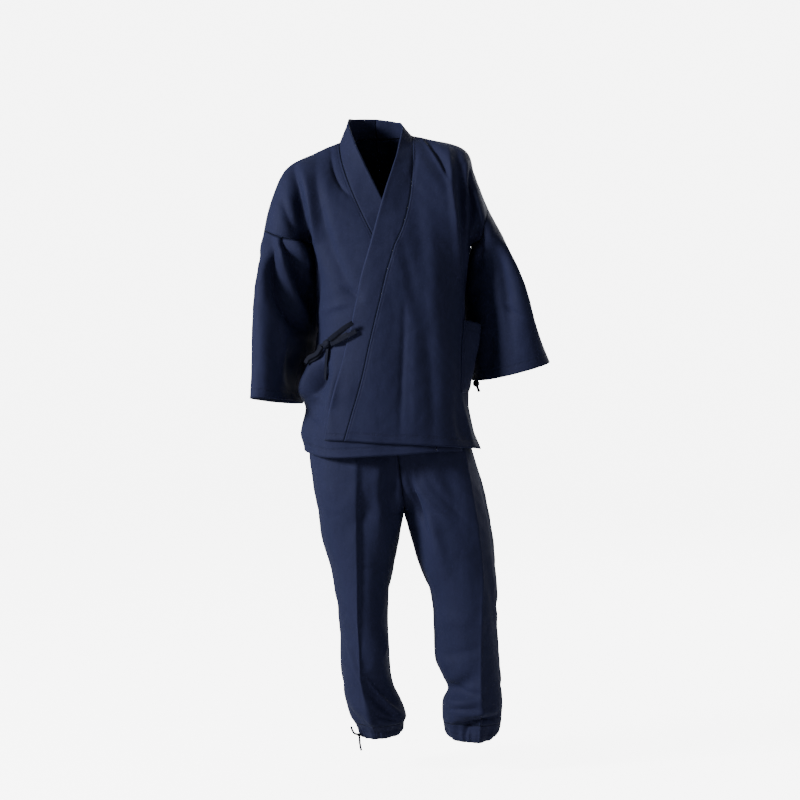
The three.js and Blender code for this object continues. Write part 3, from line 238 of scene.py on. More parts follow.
# The main folds, close to the solids' own. A row: the start, middle and end of its curve as seen
# from its side, in x and z or in y and z, its width, its rise (below 0 it sinks in) and how sharp
# it is.
BROAD_FOLDS = {
    ("body", "front"): [
        (-190, -80, -168, -190, -142, -320, 19, -9, 0), (-205, -70, -190, -160, -152, -240, 22, 6, 0),
        (-133, -85, -106, -225, -72, -320, 34, 5, 0), (-104, -40, -90, -90, -66, -120, 18, -5, 0),
        (-82, -330, -60, -370, -44, -330, 22, -4, 0), (-128, -486, -150, -520, -176, -585, 18, 10, 0),
        (-112, -500, -128, -560, -150, -620, 20, -16, 0), (-88, -500, -84, -600, -92, -700, 30, 5, 0),
        (-140, -590, -142, -640, -150, -700, 20, -6, 0), (104, 2, 150, -60, 176, -150, 18, -7, 0),
        (132, -10, 182, -130, 186, -300, 26, 7, 0), (205, -60, 216, -120, 213, -240, 20, -8, 0),
        (96, -120, 100, -220, 110, -330, 30, -5, 0), (60, -300, 68, -480, 62, -690, 34, -4, 0),
        (132, -360, 140, -520, 150, -690, 36, 5, 0), (176, -560, 190, -620, 208, -700, 22, -6, 0),
    ],
    ("body", "back"): [
        (-60, -20, -150, -120, -190, -220, 30, -8, 0), (60, -10, 150, -110, 200, -210, 30, -8, 0),
        (-110, -120, -100, -260, -60, -420, 34, 6, 0), (160, -120, 160, -260, 130, -420, 34, 6, 0),
        (36, -240, 40, -400, 42, -560, 40, -6, 0), (-70, -430, -84, -560, -96, -700, 34, 7, 0),
        (104, -430, 140, -560, 158, -700, 34, 7, 0), (10, -480, 0, -600, -6, -705, 30, -6, 0),
    ],
    ("sleeve_right", "front"): [
        (-212, -205, -182, -285, -145, -380, 19, -10, 0), (-196, -204, -168, -250, -150, -330, 16, 7, 0),
        (-240, -215, -232, -345, -160, -440, 24, -13, 0), (-262, -300, -252, -430, -250, -580, 30, 5, 0),
        (-196, -470, -190, -520, -188, -585, 26, -10, 0),
    ],
    ("sleeve_right", "back"): [
        (-170, -260, -200, -380, -262, -470, 28, -12, 0), (-236, -230, -246, -340, -270, -420, 26, 8, 0),
        (-200, -440, -212, -520, -214, -600, 30, -8, 0),
    ],
    ("sleeve_left", "front"): [
        (262, -228, 270, -285, 302, -372, 22, -12, 0), (240, -280, 262, -400, 268, -520, 26, -10, 0),
        (300, -250, 336, -350, 366, -470, 26, 5, 0),
    ],
    ("sleeve_left", "back"): [
        (226, -240, 270, -330, 340, -400, 28, -12, 0), (290, -220, 316, -330, 330, -470, 28, 8, 0),
        (250, -360, 262, -440, 272, -530, 26, -8, 0),
    ],
    ("leg_right", "front"): [
        (62, -740, 20, -800, -60, -880, 26, -7, 0), (60, -790, 40, -850, 20, -960, 22, 6, 0),
        (-108, -720, -120, -820, -108, -960, 30, 5, 0), (-24, -1215, 20, -1260, 52, -1318, 20, -9, 0),
        (-78, -1100, -50, -1150, -24, -1210, 24, -6, 0), (-60, -1270, -30, -1300, 4, -1312, 18, 6, 0),
        (32, -1110, 10, -1150, 8, -1190, 22, 5, 0),
    ],
    ("leg_right", "back"): [
        (50, -780, -10, -850, -80, -900, 30, -9, 0), (40, -860, 0, -920, -60, -960, 26, 7, 0),
        (-60, -1010, -10, -1050, 24, -1060, 26, -8, 0), (-66, -1080, -20, -1110, 26, -1110, 24, 6, 0),
        (-66, -1230, 0, -1270, 50, -1300, 22, -8, 0),
    ],
    ("leg_left", "front"): [
        (66, -740, 100, -800, 150, -880, 26, -8, 0), (70, -800, 88, -850, 110, -950, 22, -9, 0),
        (96, -760, 130, -880, 140, -1000, 26, 6, 0), (165, -1258, 200, -1240, 235, -1210, 18, -9, 0),
        (180, -1345, 215, -1326, 288, -1318, 16, -8, 0), (160, -1290, 200, -1300, 260, -1290, 22, 6, 0),
        (140, -1110, 170, -1160, 190, -1230, 24, -6, 0),
    ],
    ("leg_left", "back"): [
        (70, -780, 140, -850, 220, -900, 30, -9, 0), (90, -860, 140, -920, 220, -960, 26, 7, 0),
        (130, -1010, 190, -1050, 262, -1060, 26, -8, 0), (140, -1090, 200, -1120, 262, -1110, 24, 6, 0),
        (168, -1250, 220, -1280, 284, -1300, 22, -8, 0),
    ],
}
# The smaller folds and creases: in front from the photograph, elsewhere of the same kind.
FINE_FOLDS = {
    ("body", "front"): [
        (-136, -39, -133, -214, -44, -354, 14, -7, 0.2), (-156, -62, -156, -223, -83, -361, 16, 3, 0),
        (-192, -46, -162, -150, -143, -290, 11, -10, 0.3), (-214, -126, -202, -168, -172, -223, 11, -5, 0.2),
        (-172, -60, -138, -160, -122, -290, 12, 5, 0), (-103, -16, -99, -90, -55, -129, 5, -4, 0.6),
        (-145, -264, -138, -315, -136, -389, 6, -5, 0.4), (-87, -327, -60, -338, -37, -356, 5, -3, 0.5),
        (-124, -389, -87, -370, -44, -363, 8, 3, 0), (-133, -476, -156, -536, -175, -586, 9, 11, 0.1),
        (-118, -498, -128, -536, -154, -577, 9, -14, 0.4), (-170, -605, -150, -628, -113, -644, 6, -4, 0.5),
        (-92, -527, -99, -573, -106, -619, 9, 3, 0), (-124, -580, -120, -637, -124, -697, 12, -3, 0),
        (101, 14, 138, -30, 166, -99, 5, 5, 0.5), (110, 8, 150, -32, 168, -100, 9, -7, 0.3),
        (92, -16, 87, -57, 78, -99, 6, -3, 0.2), (166, -21, 172, -166, 191, -343, 8, 6, 0.2),
        (186, -30, 195, -154, 200, -264, 9, -8, 0.2), (207, -53, 209, -166, 205, -288, 6, 5, 0.2),
        (218, -39, 221, -154, 214, -246, 5, -6, 0.4), (175, -297, 189, -320, 205, -334, 4, -3, 0.6),
        (67, -361, 62, -481, 55, -674, 6, -2.6, 0.2), (84, -361, 87, -499, 85, -678, 12, 1.6, 0),
        (106, -338, 126, -499, 133, -683, 16, -4, 0), (161, -361, 170, -545, 175, -695, 14, 3, 0),
        (51, -200, 78, -292, 97, -407, 14, -3, 0), (113, -131, 129, -269, 138, -407, 20, 3, 0),
        (191, -573, 205, -623, 225, -692, 6, 4, 0.3), (207, -564, 216, -614, 235, -683, 7, -5, 0.2),
        (-71, -476, -83, -591, -87, -683, 16, -3, 0),
    ],
    ("body", "back"): [
        (-178, -96, -150, -190, -92, -300, 12, -6, 0.3), (-150, -70, -96, -120, -40, -150, 10, 4, 0),
        (188, -80, 156, -170, 104, -262, 13, -6, 0.3), (140, -60, 96, -104, 44, -130, 9, 4, 0.1),
        (-192, -170, -176, -250, -168, -340, 10, 5, 0.1), (214, -160, 206, -260, 196, -350, 10, 5, 0.1),
        (-120, -250, -96, -340, -88, -450, 16, -5, 0), (120, -240, 110, -350, 112, -470, 14, -4, 0),
        (-40, -330, -28, -450, -34, -580, 15, 4, 0), (74, -350, 80, -480, 70, -600, 12, -4, 0.1),
        (-130, -470, -140, -570, -152, -690, 12, -5, 0.1), (186, -480, 196, -580, 214, -690, 12, -5, 0.1),
        (-20, -560, -26, -640, -36, -700, 10, 3, 0), (118, -560, 124, -640, 122, -700, 9, 3, 0),
        (-160, -420, -120, -452, -60, -462, 9, 3.5, 0.3), (200, -430, 160, -458, 96, -470, 9, 3.5, 0.3),
    ],
    ("body", "right"): [
        (-60, -300, -20, -380, 30, -470, 14, -4, 0.1), (60, -320, 20, -400, -30, -520, 12, 4, 0),
    ],
    ("body", "left"): [
        (-70, -280, -10, -360, 50, -430, 14, -4, 0.1), (60, -430, 30, -540, 44, -660, 14, 4, 0),
    ],
    ("sleeve_right", "front"): [
        (-221, -203, -184, -268, -142, -340, 9, -10, 0.4), (-195, -209, -168, -255, -143, -315, 9, 6, 0.1),
        (-145, -329, -143, -373, -145, -419, 7, -8, 0.4), (-246, -190, -236, -360, -143, -446, 17, -13, 0.1),
        (-214, -246, -193, -338, -147, -412, 10, 7, 0), (-168, -453, -163, -518, -175, -586, 24, -13, 0),
        (-256, -223, -262, -361, -256, -545, 18, 2.5, 0), (-225, -430, -221, -499, -225, -573, 16, -3, 0),
        (-202, -402, -212, -476, -198, -568, 12, 4, 0),
    ],
    ("sleeve_right", "back"): [
        (-160, -300, -190, -360, -240, -402, 10, -6, 0.3), (-254, -250, -262, -330, -262, -400, 9, 4, 0),
        (-180, -420, -196, -470, -200, -560, 10, 5, 0.1), (-240, -420, -246, -500, -250, -590, 12, -4, 0),
        (-170, -480, -186, -510, -230, -530, 8, -4, 0.4), (-214, -340, -226, -400, -258, -440, 8, 4, 0.2),
    ],
    ("sleeve_right", "right"): [
        (-50, -250, -20, -340, -44, -440, 14, -5, 0.1), (30, -230, 40, -330, 20, -430, 14, 5, 0),
        (70, -300, 30, -380, -10, -420, 10, -5, 0.3), (0, -420, 14, -500, 4, -590, 16, 4, 0),
        (-70, -440, -56, -510, -66, -580, 12, -4, 0), (80, -440, 70, -510, 84, -590, 12, -4, 0),
    ],
    ("sleeve_left", "front"): [
        (235, -150, 235, -246, 223, -361, 8, -8, 0.2), (253, -166, 267, -292, 285, -430, 14, 2, 0),
        (278, -269, 297, -361, 313, -499, 16, -5, 0), (244, -430, 253, -476, 253, -531, 14, -7, 0),
        (286, -150, 337, -269, 372, -430, 14, 4, 0), (281, -366, 304, -389, 336, -402, 6, -3, 0.3),
    ],
    ("sleeve_left", "back"): [
        (240, -290, 280, -350, 350, -392, 10, -6, 0.3), (300, -260, 340, -340, 366, -420, 10, 4, 0),
        (236, -330, 256, -400, 262, -500, 10, 4, 0.1), (316, -390, 330, -440, 336, -500, 12, -4, 0),
        (250, -440, 290, -462, 340, -470, 8, -3.5, 0.4), (270, -250, 300, -300, 340, -330, 8, 4, 0.2),
    ],
    ("sleeve_left", "left"): [
        (-50, -220, -24, -320, -50, -420, 14, -5, 0.1), (40, -220, 60, -320, 40, -420, 14, 5, 0),
        (90, -300, 50, -360, 10, -400, 10, -5, 0.3), (10, -380, 30, -440, 26, -510, 16, 4, 0),
    ],
    ("leg_right", "front"): [
        (-30, -711, -30, -913, -32, -1143, 12, -4, 0.1), (5, -711, 9, -798, 5, -925, 14, 5, 0),
        (34, -720, 41, -821, 37, -959, 12, -5, 0.1), (64, -724, 67, -784, 62, -839, 4, 3, 0.4),
        (53, -752, 51, -821, 41, -913, 8, 3, 0), (-32, -1212, 14, -1263, 60, -1311, 5, 5, 0.5),
        (-23, -1244, 9, -1290, 51, -1318, 8, -5, 0.2), (-83, -1092, -60, -1180, -21, -1258, 6, 3, 0.5),
        (34, -1102, 23, -1143, 9, -1184, 5, 3, 0.5), (46, -1198, 37, -1244, 64, -1295, 8, 4, 0.1),
        (-78, -1281, -60, -1309, -32, -1332, 8, -4, 0.1), (-5, -1300, 18, -1322, 60, -1327, 5, -5, 0.3),
        (-23, -1309, -9, -1327, 18, -1343, 5, 4, 0.3), (-120, -931, -92, -1014, -78, -1088, 6, 3, 0.4),
        (-37, -964, -9, -973, 32, -964, 8, -2, 0.2),
    ],
    ("leg_right", "back"): [
        (44, -770, 0, -812, -70, -842, 10, -5, 0.3), (48, -812, 20, -866, -30, -906, 9, 4, 0.1),
        (56, -852, 44, -910, 26, -980, 10, -4, 0.2), (-96, -900, -60, -1000, -66, -1080, 14, 4, 0),
        (-90, -1012, -50, -1032, 0, -1032, 12, -4, 0), (-84, -1056, -40, -1080, 10, -1076, 13, 3, 0),
        (20, -1090, -20, -1140, -50, -1220, 10, -4, 0.1), (-70, -1180, -30, -1232, 20, -1258, 9, 4, 0.2),
        (-66, -1262, -20, -1292, 30, -1312, 7, -4, 0.3), (40, -1240, 10, -1282, -30, -1322, 8, 3, 0.1),
    ],
    ("leg_right", "right"): [
        (-50, -760, -10, -860, -30, -980, 16, -4, 0), (50, -780, 20, -900, 34, -1040, 16, 4, 0),
        (-40, -1040, 0, -1080, 44, -1090, 13, -3, 0), (-40, -1210, 0, -1262, 46, -1290, 9, -4, 0.3),
    ],
    ("leg_right", "left"): [
        (-40, -980, 0, -1040, 40, -1070, 12, -4, 0.2), (-30, -1200, 4, -1250, 40, -1300, 9, -4, 0.3),
    ],
    ("leg_left", "front"): [
        (74, -747, 78, -803, 101, -858, 6, -8, 0.3), (85, -718, 92, -743, 101, -770, 4, -4, 0.5),
        (78, -770, 110, -816, 161, -853, 9, 4, 0.2), (83, -821, 101, -858, 129, -904, 8, -6, 0.2),
        (97, -720, 120, -784, 184, -839, 9, -3, 0.1), (147, -711, 175, -784, 198, -890, 22, -6, 0),
        (110, -821, 138, -890, 161, -982, 12, 3, 0), (133, -1175, 198, -1171, 262, -1138, 10, -2.5, 0.2),
        (147, -1079, 198, -1102, 258, -1088, 12, 2, 0), (152, -1240, 189, -1263, 244, -1258, 9, -5, 0.1),
        (154, -1281, 193, -1281, 244, -1272, 8, 4, 0.1), (166, -1300, 198, -1290, 239, -1293, 4, -3.5, 0.4),
        (175, -1355, 212, -1322, 290, -1318, 6, -9, 0.4), (198, -1309, 239, -1304, 285, -1300, 9, 5, 0.1),
        (170, -1346, 184, -1332, 198, -1332, 5, -3, 0.3), (253, -959, 271, -1051, 281, -1189, 9, -2, 0.1),
    ],
    ("leg_left", "back"): [
        (80, -770, 130, -820, 206, -846, 10, -5, 0.3), (84, -812, 116, -870, 168, -912, 9, 4, 0.1),
        (86, -862, 100, -930, 124, -1000, 10, -4, 0.2), (250, -900, 236, -1000, 248, -1080, 14, 4, 0),
        (134, -1020, 180, -1036, 236, -1030, 12, -4, 0), (150, -1062, 196, -1084, 250, -1080, 13, 3, 0),
        (152, -1100, 186, -1150, 206, -1230, 10, -4, 0.1), (266, -1180, 226, -1240, 176, -1262, 9, 4, 0.2),
        (276, -1262, 230, -1290, 180, -1310, 7, -4, 0.3), (160, -1240, 190, -1282, 240, -1322, 8, 3, 0.1),
    ],
    ("leg_left", "right"): [
        (-40, -990, 0, -1040, 40, -1060, 12, -4, 0.2), (-30, -1190, 4, -1240, 40, -1290, 9, -4, 0.3),
    ],
    ("leg_left", "left"): [
        (-50, -760, -10, -870, -30, -1000, 16, -4, 0), (50, -780, 20, -900, 40, -1060, 16, 4, 0),
        (-40, -1050, 10, -1084, 50, -1080, 13, -3, 0), (-40, -1220, 0, -1262, 46, -1288, 9, -4, 0.3),
    ],
}

# Places where the tapes of the ties and of the bow pass: x, z and how far off the cloth.
TAPES = {
    "tie_front": [(-61.2, -437, 3.4), (-76, -445, 4.4), (-86, -451.5, 5.5), (-95.2, -457.6, 6)],
    "tie_side": [(-130, -470, 2.4), (-122, -467, 4), (-112, -463.5, 6.2)],
    "bow_loop_upper": [(-93, -453.5, 13), (-76, -440, 19), (-54, -420, 21), (-43, -411, 24),
                       (-54, -419, 28), (-76, -438, 26), (-93, -451, 18.4)],
    "bow_end_upper": [(-94.8, -461.2, 8.9), (-76, -453, 15), (-60, -444, 16.5), (-38, -431, 15)],
    "bow_loop_lower": [(-111.5, -467.5, 9), (-124, -488, 8), (-137, -506, 6), (-141, -513, 9),
                       (-137, -505, 12.5), (-124, -486, 14), (-111, -467.5, 14)],
    "bow_end_lower": [(-104, -470.3, 6), (-108, -490, 6), (-118, -510, 6), (-127, -534, 7)],
}
# How far each tape leans about its own run, in degrees, so that its loop opens to the front.
TAPE_TURN = {"bow_loop_upper": 28, "bow_loop_lower": -30, "bow_end_upper": 14, "bow_end_lower": -12}
BOW = {"x": -103, "z": -460, "lift": 9, "size": (24, 17, 18), "tilt": 35, "facing": 40, "groove": 0.16}

# The knots at the hems and the cord ends there, from the knot outwards.
HEM_KNOTS = {"right": (-39.1, -21.6, -1364), "left": (236, 64.6, -1362)}
HEM_KNOT_SIZE = (9, 9, 8)
HEM_KNOT_GROOVE = 0.2
HEM_CORDS = {
    "hem_cord_right_upper": [
        (-42.4, -24.4, -1362.2), (-49, -33, -1359), (-54, -39, -1351), (-57, -44, -1341)],
    "hem_cord_right_lower": [(-38.6, -23.8, -1368), (-38, -30, -1375), (-37, -36, -1383), (-34, -43, -1396)],
    "hem_cord_left_upper": [(239.5, 67.3, -1360.2), (246, 72, -1356), (252, 75, -1349), (255, 78, -1337)],
    "hem_cord_left_lower": [(235.4, 66.8, -1366), (234, 73, -1374), (233, 77, -1383), (231, 79, -1395)],
}
# The middle of each cuff's knot and the end of its tail.
CUFF_KNOTS = {
    "cuff_knot_left": ((231, 33, -554.2), (238, 28, -573)),
    "cuff_knot_right": ((-198, 136.6, -580), (-198, 139, -597)),
}
# The gathers of each hem casing: their number, depth and unevenness, and the middle of the hem.
GATHERS = {"right": (11, 2.2, 1.1), "left": (8, 1.6, 0.8)}
HEM_CENTRE = {"right": (12, 3), "left": (222, 3)}
# The heights of the trousers' rows, each step of which is split again.
LEG_HEIGHTS = [
    -1335, -1322, -1304, -1284, -1258, -1230, -1195, -1150, -1100, -1045, -990, -940, -900, -870, -846,
    -839, -828, -812, -790, -760, -720, -660, -590, -510, -430,
]


# Small helpers

def mix(a, b, t):
    """Straight from a to b as t runs from 0 to 1."""
    return a + (b - a) * t


def step(low, high, value):
    """A soft stair from 0 at low to 1 at high."""
    t = np.clip((value - low) / (high - low), 0, 1)
    return t * t * (3 - 2 * t)


def signed_power(value, power):
    """The power of a value's size, with the value's sign."""
    return np.sign(value) * np.abs(value) ** power


def shares(count):
    """Even parts of a length, from 0 to 1."""
    return np.linspace(0, 1, count + 1)


def turns(count):
    """The angles of a ring of points."""
    return np.linspace(0, 2 * np.pi, count, endpoint=False)


def unit(vectors):
    """Each vector divided by its length."""
    return vectors / np.maximum(np.linalg.norm(vectors, axis=-1, keepdims=True), 1e-9)


def stacked(x, y, z):
    """Points from three arrays of coordinates."""
    return np.stack(np.broadcast_arrays(x, y, z), -1).astype(float)


def run_along(points):
    """How far each point of a line is from its start, along the line."""
    return np.concatenate([[0], np.cumsum(np.linalg.norm(np.diff(points, axis=0), axis=1))])


# The jacket's surface

def torso_middle(z):
    """The middle and the half width of the jacket's section."""
    left, right = TORSO("left", z), TORSO("right", z)
    return (left + right) / 2, (left - right) / 2


def torso_point(z, angle):
    """A level superellipse of exponent TORSO_ROUNDNESS: x is the middle plus the half width times the
    sine of the angle to the power 2 / exponent, y the front's or the back's reach times the cosine
    likewise. The angle is 0 at the front and 90 degrees at the left side."""
    middle, half = torso_middle(z)
    power = 2 / TORSO_ROUNDNESS
    reach = np.where(np.cos(angle) >= 0, TORSO("front", z), TORSO("back", z))
    x = middle + half * signed_power(np.sin(angle), power)
    y = TORSO_SIDE_Y + (reach - TORSO_SIDE_Y) * np.abs(np.cos(angle)) ** power
    return stacked(x, y, z)


def front_angle(z, x):
    """The angle at which the front has a given x: the superellipse solved for its angle."""
    middle, half = torso_middle(z)
    return np.arcsin(signed_power((x - middle) / half, TORSO_ROUNDNESS / 2))


def lap_out(side, across, from_shoulder):
    """How far the left front stands off for the right front under it, fading to its side seam."""
    if side == "right":
        return 0 * across * from_shoulder
    return LAP * (1 - step(LAP_EDGE, 1, across)) * step(*LAP_TOP, from_shoulder)


def vent_opening(z):
    """How far the front and the back edge part below the top of the vent."""
    return VENT_SPREAD * step(0, VENT_FULL, VENT_TOP_Z - z)


def skirt_front(side, across, up):
    """The front below the underarm: the height runs straight from the hem (up 0) to the underarm
    (up 1), the angle straight from the collar seam to the side seam."""
    z = mix(HEM_LINE(side, across), UNDERARM_Z, up)
    start = front_angle(z, COLLAR_LINE(side + "Seam", z))
    angle = mix(start, math.radians(90) * SIGN[side], across)
    point = torso_point(z, angle)
    out = lap_out(side, across, 1.0)
    point[..., 0] += out * np.sin(angle)
    point[..., 1] -= out * np.cos(angle) + vent_opening(z) * step(VENT_EDGE, 1, across)
    return point


def skirt_back(side, across, up):
    """The back below the underarm, from the centre back (across 0) to the side seam (across 1)."""
    z = mix(HEM_LINE("back", across), UNDERARM_Z, up)
    angle = mix(math.radians(180), math.radians(90), across) * SIGN[side]
    point = torso_point(z, angle)
    point[..., 1] += vent_opening(z) * step(VENT_EDGE, 1, across)
    return point


def shoulder_point(side, across):
    """A point on the shoulder line, read from its table."""
    return stacked(*(SHOULDER(side + axis, across) for axis in "XYZ"))


def neckline_point(side, turned):
    """A quarter of an oval from the side of the neck (0) to the centre back (1)."""
    start = shoulder_point(side, np.float64(0))
    turn = np.radians(90) * turned
    return stacked(start[0] * np.cos(turn), mix(start[1], NAPE[1], np.sin(turn)),
                   mix(start[2], NAPE[2], turned * turned * (3 - 2 * turned)))


def fall_point(side, fall, across, top, bottom, down):
    """A cubic Bezier curve from the top edge to the underarm level, pulled at both ends as the
    table of the fall says."""
    pulls = [stacked(SIGN[side] * fall(way + "X", across), fall(way + "Y", across), fall(way + "Z", across))
             for way in ("out", "in")]
    t = np.asarray(down, float)[..., None]
    s = 1 - t
    return (top * s ** 3 + (top + pulls[0]) * 3 * s * s * t + (bottom + pulls[1]) * 3 * s * t * t
            + bottom * t ** 3)


def yoke_front(side, across, down):
    """The front above the underarm: down is 0 on the shoulder line and 1 at the underarm."""
    flat = skirt_front(side, across, 1.0)
    point = fall_point(side, FRONT_FALL, across, shoulder_point(side, across), flat, down)
    point[..., 1] -= lap_out(side, across, down) - lap_out(side, across, 1.0) * down ** 3
    return point


NECK_SHARE = NECK_COLUMNS / (NECK_COLUMNS + FRONT_COLUMNS)


def yoke_back(side, across, down):
    """The back above the underarm. Its top edge is the neckline first and then the shoulder line."""
    neck = neckline_point(side, 1 - np.minimum(across / NECK_SHARE, 1))
    top_line = shoulder_point(side, np.maximum(across - NECK_SHARE, 0) / (1 - NECK_SHARE))
    top = np.where((across < NECK_SHARE)[..., None], neck, top_line)
    return fall_point(side, BACK_FALL, across, top, skirt_back(side, across, 1.0), down)


def body_points(side, skirt, yoke, columns):
    """A whole front or back on rows from the hem up to the underarm and on to the shoulder."""
    across = shares(columns)[None, :]
    low = skirt(side, across, shares(SKIRT_ROWS)[:, None])
    high = yoke(side, across + 0 * across, 1 - shares(YOKE_ROWS)[1:, None] + 0 * across)
    return np.concatenate([low, high])


def collar_points(side):
    """The collar from its seam (column 0) to its free edge: on the front a level strip of the torso
    between two lines, above the underarm straight from the seam to the free edge's own curve."""
    out = shares(COLLAR_COLUMNS)[None, :]
    seam = skirt_front(side, np.zeros((SKIRT_ROWS + 1, 1)), shares(SKIRT_ROWS)[:, None])
    x, z = seam[..., 0], seam[..., 2]
    placed = mix(x, COLLAR_LINE(side + "Edge", z), out)
    rim = torso_point(z + 0 * out, front_angle(z, placed))
    low = stacked(placed, rim[..., 1] - lap_out(side, np.float64(0), 1.0), z)
    along = np.concatenate([shares(YOKE_ROWS)[1:], 1 + shares(NECK_COLUMNS)[1:]])
    front = yoke_front(side, np.zeros(YOKE_ROWS), 1 - along[:YOKE_ROWS])
    neck = neckline_point(side, along[YOKE_ROWS:] - 1)
    start = np.concatenate([front, neck])[:, None]
    edge = stacked(*(COLLAR_TOP(side + axis, along) for axis in "XYZ"))[:, None]
    return np.concatenate([low, mix(start, edge, out[..., None])])


def sleeve_points(side):
    """A tube through rings: the first is the body's armhole, the others superellipses of exponent
    SLEEVE_ROUNDNESS about a slanting middle line. Every column runs smoothly through the rings."""
    sections = SLEEVES[side]
    stations = [0, *sections.keys]
    columns = 2 * YOKE_ROWS
    turned = np.arange(columns + 1) % columns / columns
    power = 2 / SLEEVE_ROUNDNESS
    last = np.ones(columns + 1)
    armhole = np.where((turned <= 0.5)[:, None],
                       yoke_front(side, last, np.clip(turned * 2, 0, 1)),
                       yoke_back(side, last, np.clip(2 - turned * 2, 0, 1)))
    rings = [armhole]
    outward = signed_power(np.cos(2 * np.pi * turned), power)
    forward = signed_power(np.sin(2 * np.pi * turned), power)
    share = (1 + outward) / 2
    for station in sections.keys:
        read = {name: float(sections(name, station)) for name in sections.columns}
        rings.append(stacked(
            mix(read["inX"], read["outX"], share) + SIGN[side] * read["lean"] * forward,
            read["middleY"] - read["depth"] * forward,
            mix(read["inZ"], read["outZ"], share) - read["drop"] * (0.5 - forward / 2),
        ))
    return hermite(stations, np.array(rings), shares(SLEEVE_ROWS))


# The trousers' surface

def leg_point(side, face, z, inward):
    """A level half section of a leg: a superellipse whose two halves end at the inner and the outer
    seam. The angle runs from the pressed crease to both seams. The crease stands out in a sharp
    ridge that falls away exponentially and ends before the seams. inward is 1 at the inner seam
    and -1 at the outer."""
    shape = LEGS[side]
    power = 2 / LEG_ROUNDNESS
    end = face.capitalize()
    middle, crease = shape("middle" + end, z), shape("crease" + end, z)
    above = z >= CROTCH_Z
    widest = np.where(above, np.radians(CROTCH(face, z)), np.radians(90))
    seam = np.where(above, CENTRE_SEAM("x", z), shape("inner", z))
    inner = (seam - middle) / np.sin(widest) ** power
    outer = shape("outer", z) - middle
    towards = np.sign((crease - middle) * inner)
    share = (crease - middle) / np.where(towards > 0, inner, outer)
    at_crease = towards * np.arcsin(np.abs(share) ** (1 / power))
    angle = mix(at_crease, np.where(inward > 0, widest, np.radians(-90)), np.abs(inward))
    x = middle + np.where(angle > 0, inner, outer) * np.abs(np.sin(angle)) ** power
    press = CREASE_RISE * np.exp(-np.abs(angle - at_crease) / CREASE_WIDTH) * step(*CREASE_TOP, z)
    press = press * step(0, CREASE_FADE, 1 - np.abs(inward))
    middle_y = (LEG_DEPTH("front", z) + LEG_DEPTH("back", z)) / 2
    reach = LEG_DEPTH(face, z) - middle_y
    raised = step(0, SIDE_FADE, np.radians(90) - np.abs(angle)) * press * np.sign(reach)
    return stacked(x, middle_y + reach * np.abs(np.cos(angle)) ** power + raised, z)


def leg_heights():
    """The heights of the rows, each step of the list split evenly."""
    rows = np.arange(len(LEG_HEIGHTS))
    fine = np.linspace(0, rows[-1], rows[-1] * LEG_SPLIT + 1)
    return np.interp(fine, rows, LEG_HEIGHTS)


def leg_points(side, face):
    """A whole front or back panel, from the inner seam (column 0) to the outer seam."""
    inward = 1 - 2 * shares(LEG_COLUMNS)[None, :]
    return leg_point(side, face, leg_heights()[:, None] + 0 * inward, inward)


# Folds

# How finely a fold's curve is cut, how steeply a sharp crest falls away, the parts of a half sine wave
# at which a fold starts and ends, how many widths it reaches, and how far a point must face its side.
CURVE_STEPS = 24
CREST_FALL = 1.7
FOLD_ENDS = (0.08, 0.92)
FOLD_REACH = 3
FOLD_SIGHT = (0.05, 0.5)
# The axis that runs across each side of the garment, and the way that the side faces.
FACING = {
    "front": (0, (0, -1, 0)), "back": (0, (0, 1, 0)), "right": (1, (-1, 0, 0)), "left": (1, (1, 0, 0)),
}


def fold_height(places, ends, width, rise, pinch):
    """A ridge along a quadratic curve. Across it is a bell, or with pinch a sharper crest that falls
    away exponentially, and along it a half sine wave that fades out at both ends."""
    t = shares(CURVE_STEPS)[:, None]
    curve = (1 - t) ** 2 * ends[0] + 2 * t * (1 - t) * ends[1] + t * t * ends[2]
    start, run = curve[:-1], np.diff(curve, axis=0)
    offset = places[:, None] - start
    s = np.clip((offset * run).sum(-1) / (run * run).sum(-1), 0, 1)
    far = np.linalg.norm(offset - s[..., None] * run, axis=-1)
    nearest = far.argmin(1)
    rows = np.arange(len(places))
    far = far[rows, nearest] / width
    along = (nearest + s[rows, nearest]) / len(run)
    across = mix(np.exp(-far ** 2), np.exp(-CREST_FALL * far), pinch)
    return rise * across * np.sin(np.pi * mix(*FOLD_ENDS, along))


def folds_on(points, normals, folds, cloth):
    """The sum of a cloth's folds on the points that face the side each fold is seen from."""
    height = np.zeros(len(points))
    for face, (axis, way) in FACING.items():
        seen = points[:, [axis, 2]]
        weight = step(*FOLD_SIGHT, normals @ np.array(way, float))
        for *curve, width, rise, pinch in folds.get((cloth, face), ()):
            ends = np.reshape(curve, (3, 2)).astype(float)
            reach = FOLD_REACH * width
            inside = (seen > ends.min(0) - reach) & (seen < ends.max(0) + reach)
            near = np.flatnonzero(inside.all(1) & (weight > 0))
            if len(near):
                height[near] += fold_height(seen[near], ends, width, rise, pinch) * weight[near]
    return height


def rumple(points):
    """Low soft waves in the cloth: sines of bent coordinates at three sizes, with all lengths in
    millimetres and chosen so that no wave repeats another."""
    x, y, z = points.T
    bent = x + 0.6 * z + 16 * np.sin(z / 47 + y / 61) + 0.5 * y
    other = 0.7 * z - 0.5 * x + 19 * np.sin(x / 53 + y / 37)
    wave = np.sin(bent / 21) * np.sin(other / 29)
    small = np.sin((bent + 1.4 * other) / 13 + 2 * wave) * np.sin((other - bent) / 17)
    return 0.8 * wave + 0.4 * small


# Pieces of cloth on one shared list of points

